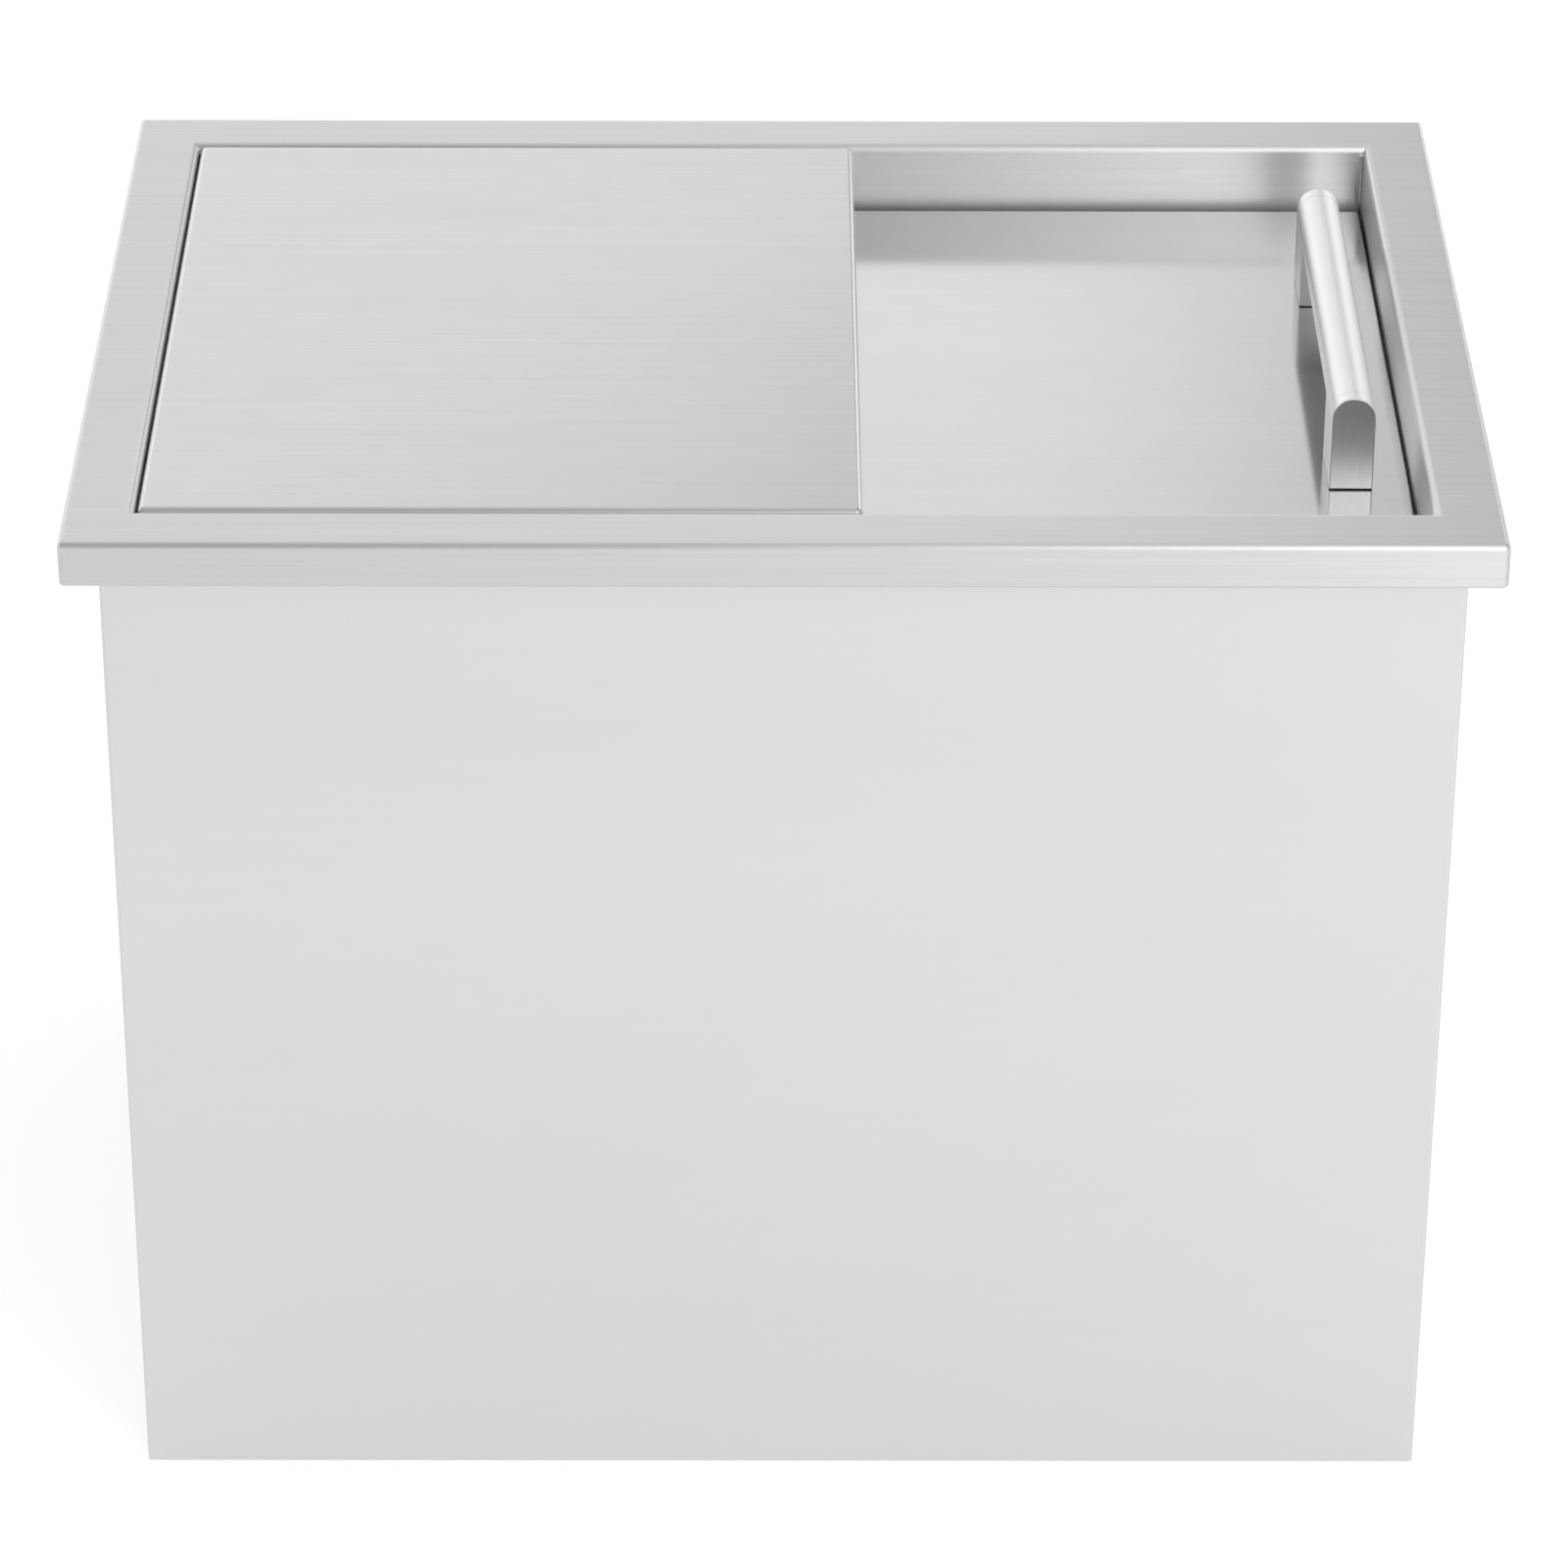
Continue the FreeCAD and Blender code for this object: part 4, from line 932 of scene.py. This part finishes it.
drain = {
    # outlines: radius and height in millimetres over the named level of each piece
    "flange": ((24.0, 0.0), (41.0, 0.0), (42.0, 0.6), (42.0, 2.2), (41.0, 3.0), (22.0, 3.0), (20.6, 2.6),
               (20.0, 1.8)),
    "plug": ((0.0, 3.0), (10.0, 3.0), (10.8, 2.3), (12.6, 2.3), (13.4, 3.0), (26.0, 3.0), (27.4, 2.5),
             (28.0, 1.5), (27.6, 0.4), (26.6, 0.0), (19.6, 0.0), (19.4, -3.0), (19.9, -3.6), (19.2, -4.2),
             (18.9, -8.0), (19.3, -8.6), (18.6, -9.2), (18.4, -11.2), (17.6, -12.0), (0.0, -12.0)),
    "stem": ((4.9, 0.0), (4.9, 0.8), (4.1, 1.6), (3.6, 4.0), (3.6, 6.0), (4.0, 7.2)),
    "flangeHeight": 3.0 * mm, "plugHead": 3.0 * mm, "throat": 20.0 * mm, "throatDepth": 18.0 * mm,
    "tube": 24.0 * mm, "bore": 13.0 * mm, "threadEnd": 2.0 * mm,
    "threadPitch": 2.0 * mm, "threadDepth": 0.7 * mm, "crest": (0.35, 0.65),
    "spigot": 16.6 * mm, "collar": 23.0 * mm, "collarHeight": 10.0 * mm, "soft": 0.8 * mm,
    "ball": 8.0 * mm, "ballSteps": 14, "ballHeight": 14.0 * mm, "neck": 4.0 * mm, "crease": 28.0,
}


def threadProfile(radius, low, high):
    # ridges of a thread, up a tube
    pitch, root = drain["threadPitch"], radius - drain["threadDepth"]
    for ridge in range(int((high - low) / pitch)):
        z = low + ridge * pitch
        yield root, z
        for share in drain["crest"]:
            yield radius, z + share * pitch
        yield root, z + pitch


def overLevel(outline, z):
    # an outline in millimetres, over a level
    return [(radius * mm, z + height * mm) for radius, height in drain[outline]]


def placeTurned(node, name, body, finish, profile, closed=True):
    bm = bmesh.new()
    verts = turnedPart(bm, profile, closed)
    bmesh.ops.translate(bm, vec=(drainCentre.x, drainCentre.y, 0), verts=verts)
    dressPiece(bm, name, body, finish, [node], crease=drain["crease"])


def makeFitting():
    flangeLow = drainHigh.z - drain["flangeHeight"]
    throatLow = drainHigh.z - drain["throatDepth"]
    outline = [(drain["bore"], drainLow.z)]
    outline += threadProfile(drain["tube"], drainLow.z, flangeLow - drain["threadEnd"])
    outline += overLevel("flange", flangeLow)
    outline += [(drain["throat"], throatLow), (drain["bore"], throatLow)]
    placeTurned("drain_body", "drain_fitting", "cabinet", drainSteel, outline)


def makeTail():
    low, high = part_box("drain_tailpiece")
    collarLow = high.z - drain["collarHeight"]
    soft, collar = drain["soft"], drain["collar"]
    outline = [(drain["bore"], low.z), (drain["spigot"] - soft, low.z)]
    outline += threadProfile(drain["spigot"], low.z + soft, collarLow - soft)
    outline += [(collar - soft, collarLow), (collar, collarLow + soft)]
    outline += [(collar, high.z - soft), (collar - soft, high.z), (drain["bore"], high.z)]
    placeTurned("drain_tailpiece", "drain_tail", "cabinet", drainPlastic, outline)


def makeStopper():
    outline = overLevel("plug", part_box("drain_plug")[1].z - drain["plugHead"])
    placeTurned("drain_plug", "stopper_plug", "drain_stopper", blackRubber, outline, False)
    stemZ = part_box("plug_knob")[0].z
    ballZ = stemZ + drain["ballHeight"]
    outline = [(0.0, stemZ)] + overLevel("stem", stemZ)
    first = math.asin(drain["neck"] / drain["ball"])
    for step in range(drain["ballSteps"]):
        turn = first + (math.pi - first) * step / drain["ballSteps"]
        outline.append((drain["ball"] * math.sin(turn), ballZ - drain["ball"] * math.cos(turn)))
    outline.append((0.0, ballZ + drain["ball"]))
    placeTurned("plug_knob", "stopper_knob", "drain_stopper", drainSteel, outline, False)


makeFitting()
makeTail()
makeStopper()
print("drain: fitting, tail, plug and knob")


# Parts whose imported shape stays, with their own finish

keptFinishes = {
    "base_pan": zincSheet, "foam_insulation": rigidFoam, "cover_foam_core": rigidFoam,
    "lid_foam_core": rigidFoam, "cover_bottom_plate": tubSheet, "lid_bottom_plate": tubSheet,
    "cover_pads": blackRubber, "handle_pads": blackRubber, "lid_bumpers": blackRubber,
    "drain_gasket": blackRubber, "drain_washer": drainPlastic, "drain_nut": drainPlastic,
    "drain_strainer": drainSteel, "handle_screws": fastenerSteel, "handle_washers": fastenerSteel,
}
for node, finish in keptFinishes.items():
    frame["nodes"][node].data.materials.clear()
    frame["nodes"][node].data.materials.append(finish)
print("kept parts:", len(keptFinishes))


# Floor, light and camera

studio = {
    "floorSize": 14.0, "floorDrop": 0.3 * mm, "floorTone": 0.68, "floorLift": 0.47, "floorGloss": 0.27,
    "skyLight": 0.84,
    # what the metal shows: a backdrop that falls off to the right, a foreground that rises to it
    # and dims again far out, and a dim ceiling
    "backdrop": (1.16, 0.67), "backdropRun": (0.05, 0.125),
    "foreground": (0.5, 1.24), "foregroundRun": (-0.01, 0.055), "wing": 0.66, "wingRun": (0.2, 0.5),
    "ceiling": 0.68, "ceilingRun": (0.4, 0.66),
    "blendRun": (-0.2, 0.2),  # from the foreground to the backdrop
    # softboxes: place, size and how bright each looks
    "lamps": (
        ("frontSoftbox", (1.27, -3.4, 2.9), (2.0, 3.0), 0.98),
        ("lowSoftbox", (0.72, -1.0, 0.2), (0.8, 0.3), 0.35),
        ("rightStrip", (1.25, 2.3, 1.0), (0.6, 1.9), 0.95),
        ("leftStrip", (-1.2, 2.3, 1.0), (0.6, 1.9), 0.2),
    ),
    "aim": (0.0, 0.0, 0.45),
}


def mirroredRays(tree, rays):
    # what metal and glass see
    return calc(tree, "MAXIMUM", rays["Is Glossy Ray"], rays["Is Transmission Ray"])


def makeFloor():
    bm = bmesh.new()
    half = studio["floorSize"] / 2
    bmesh.ops.create_grid(bm, x_segments=2, y_segments=2, size=half,
                          matrix=Matrix.Translation((0, 0, -studio["floorDrop"])))
    mesh = bpy.data.meshes.new("studioFloor")
    bm.to_mesh(mesh)
    bm.free()
    floor = bpy.data.objects.new("studioFloor", mesh)
    bpy.context.scene.collection.objects.link(floor)
    finish = bpy.data.materials.new("paleFloor")
    finish.use_nodes = True
    tree = finish.node_tree
    tree.nodes.clear()
    rays = addNode(tree, "LightPath").outputs
    seen = calc(tree, "MULTIPLY", rays["Is Camera Ray"], studio["floorLift"])
    glow = calc(tree, "MULTIPLY_ADD", mirroredRays(tree, rays), studio["floorGloss"], seen)
    paint = addNode(tree, "BsdfDiffuse", {"Color": (*grey(studio["floorTone"]), 1)})
    lift = addNode(tree, "Emission", {"Strength": glow})
    both = addNode(tree, "AddShader", {0: paint.outputs[0], 1: lift.outputs[0]})
    tree.links.new(both.outputs[0], addNode(tree, "OutputMaterial").inputs["Surface"])
    mesh.materials.append(finish)


def makeSky():
    # white where the camera looks, a softer light on what is matt, and the room in the metal
    world = bpy.data.worlds.new("studioSky")
    world.use_nodes = True
    tree = world.node_tree
    rays = addNode(tree, "LightPath").outputs
    way = addNode(tree, "SeparateXYZ", {0: addNode(tree, "TexCoord").outputs["Generated"]}).outputs
    behind = spread(tree, way["X"], *studio["backdrop"], *studio["backdropRun"])
    before = spread(tree, way["X"], *studio["foreground"], *studio["foregroundRun"])
    wing = spread(tree, way["X"], 1.0, studio["wing"], *studio["wingRun"])
    around = addNode(tree, "Mix", data_type="FLOAT")
    feed(tree, around.inputs["Factor"], spread(tree, way["Y"], 0.0, 1.0, *studio["blendRun"]))
    feed(tree, around.inputs[2], calc(tree, "MULTIPLY", before, wing))
    feed(tree, around.inputs[3], behind)
    ceiling = spread(tree, way["Z"], 1.0, studio["ceiling"], *studio["ceilingRun"])
    room = calc(tree, "MULTIPLY", around.outputs[0], ceiling)
    mirrored = mirroredRays(tree, rays)
    strength = calc(tree, "MULTIPLY", mirrored, room)
    matt = calc(tree, "MULTIPLY", calc(tree, "SUBTRACT", 1.0, mirrored), studio["skyLight"])
    strength = calc(tree, "ADD", strength, matt)
    strength = calc(tree, "MAXIMUM", strength, rays["Is Camera Ray"])
    background = tree.nodes["Background"]
    background.inputs["Color"].default_value = (1, 1, 1, 1)
    feed(tree, background.inputs["Strength"], strength)
    bpy.context.scene.world = world


def makeLamps():
    for name, place, size, glow in studio["lamps"]:
        data = bpy.data.lights.new(name, "AREA")
        data.shape = "RECTANGLE"
        data.size, data.size_y = size
        data.energy = glow * math.pi * size[0] * size[1]
        lamp = bpy.data.objects.new(name, data)
        lamp.location = place
        lamp.rotation_euler = (Vector(studio["aim"]) - Vector(place)).to_track_quat("-Z", "Y").to_euler()
        bpy.context.scene.collection.objects.link(lamp)


camera = {
    "place": (-0.013, -2.920, 1.986), "yaw": 0.285, "pitch": 30.39, "roll": 0.233,  # turns in degrees
    "lens": 148.2, "sensor": 36.0,
}


def makeCamera():
    yaw, pitch, roll = (math.radians(camera[key]) for key in ("yaw", "pitch", "roll"))
    ahead = Vector((math.sin(yaw) * math.cos(pitch), math.cos(yaw) * math.cos(pitch), -math.sin(pitch)))
    level = Vector((math.cos(yaw), -math.sin(yaw), 0))
    upright = level.cross(ahead)
    right = math.cos(roll) * level + math.sin(roll) * upright
    up = math.cos(roll) * upright - math.sin(roll) * level
    data = bpy.data.cameras.new("photoCamera")
    data.lens = camera["lens"]
    data.sensor_width = camera["sensor"]
    item = bpy.data.objects.new("photoCamera", data)
    bpy.context.scene.collection.objects.link(item)
    turn = Matrix((right, up, -ahead)).transposed().to_4x4()
    item.matrix_world = Matrix.Translation(camera["place"]) @ turn
    bpy.context.scene.camera = item


makeFloor()
makeSky()
makeLamps()
makeCamera()
bpy.context.scene.view_settings.view_transform = "Standard"
print("studio: floor, sky,", len(studio["lamps"]), "softboxes and the camera")
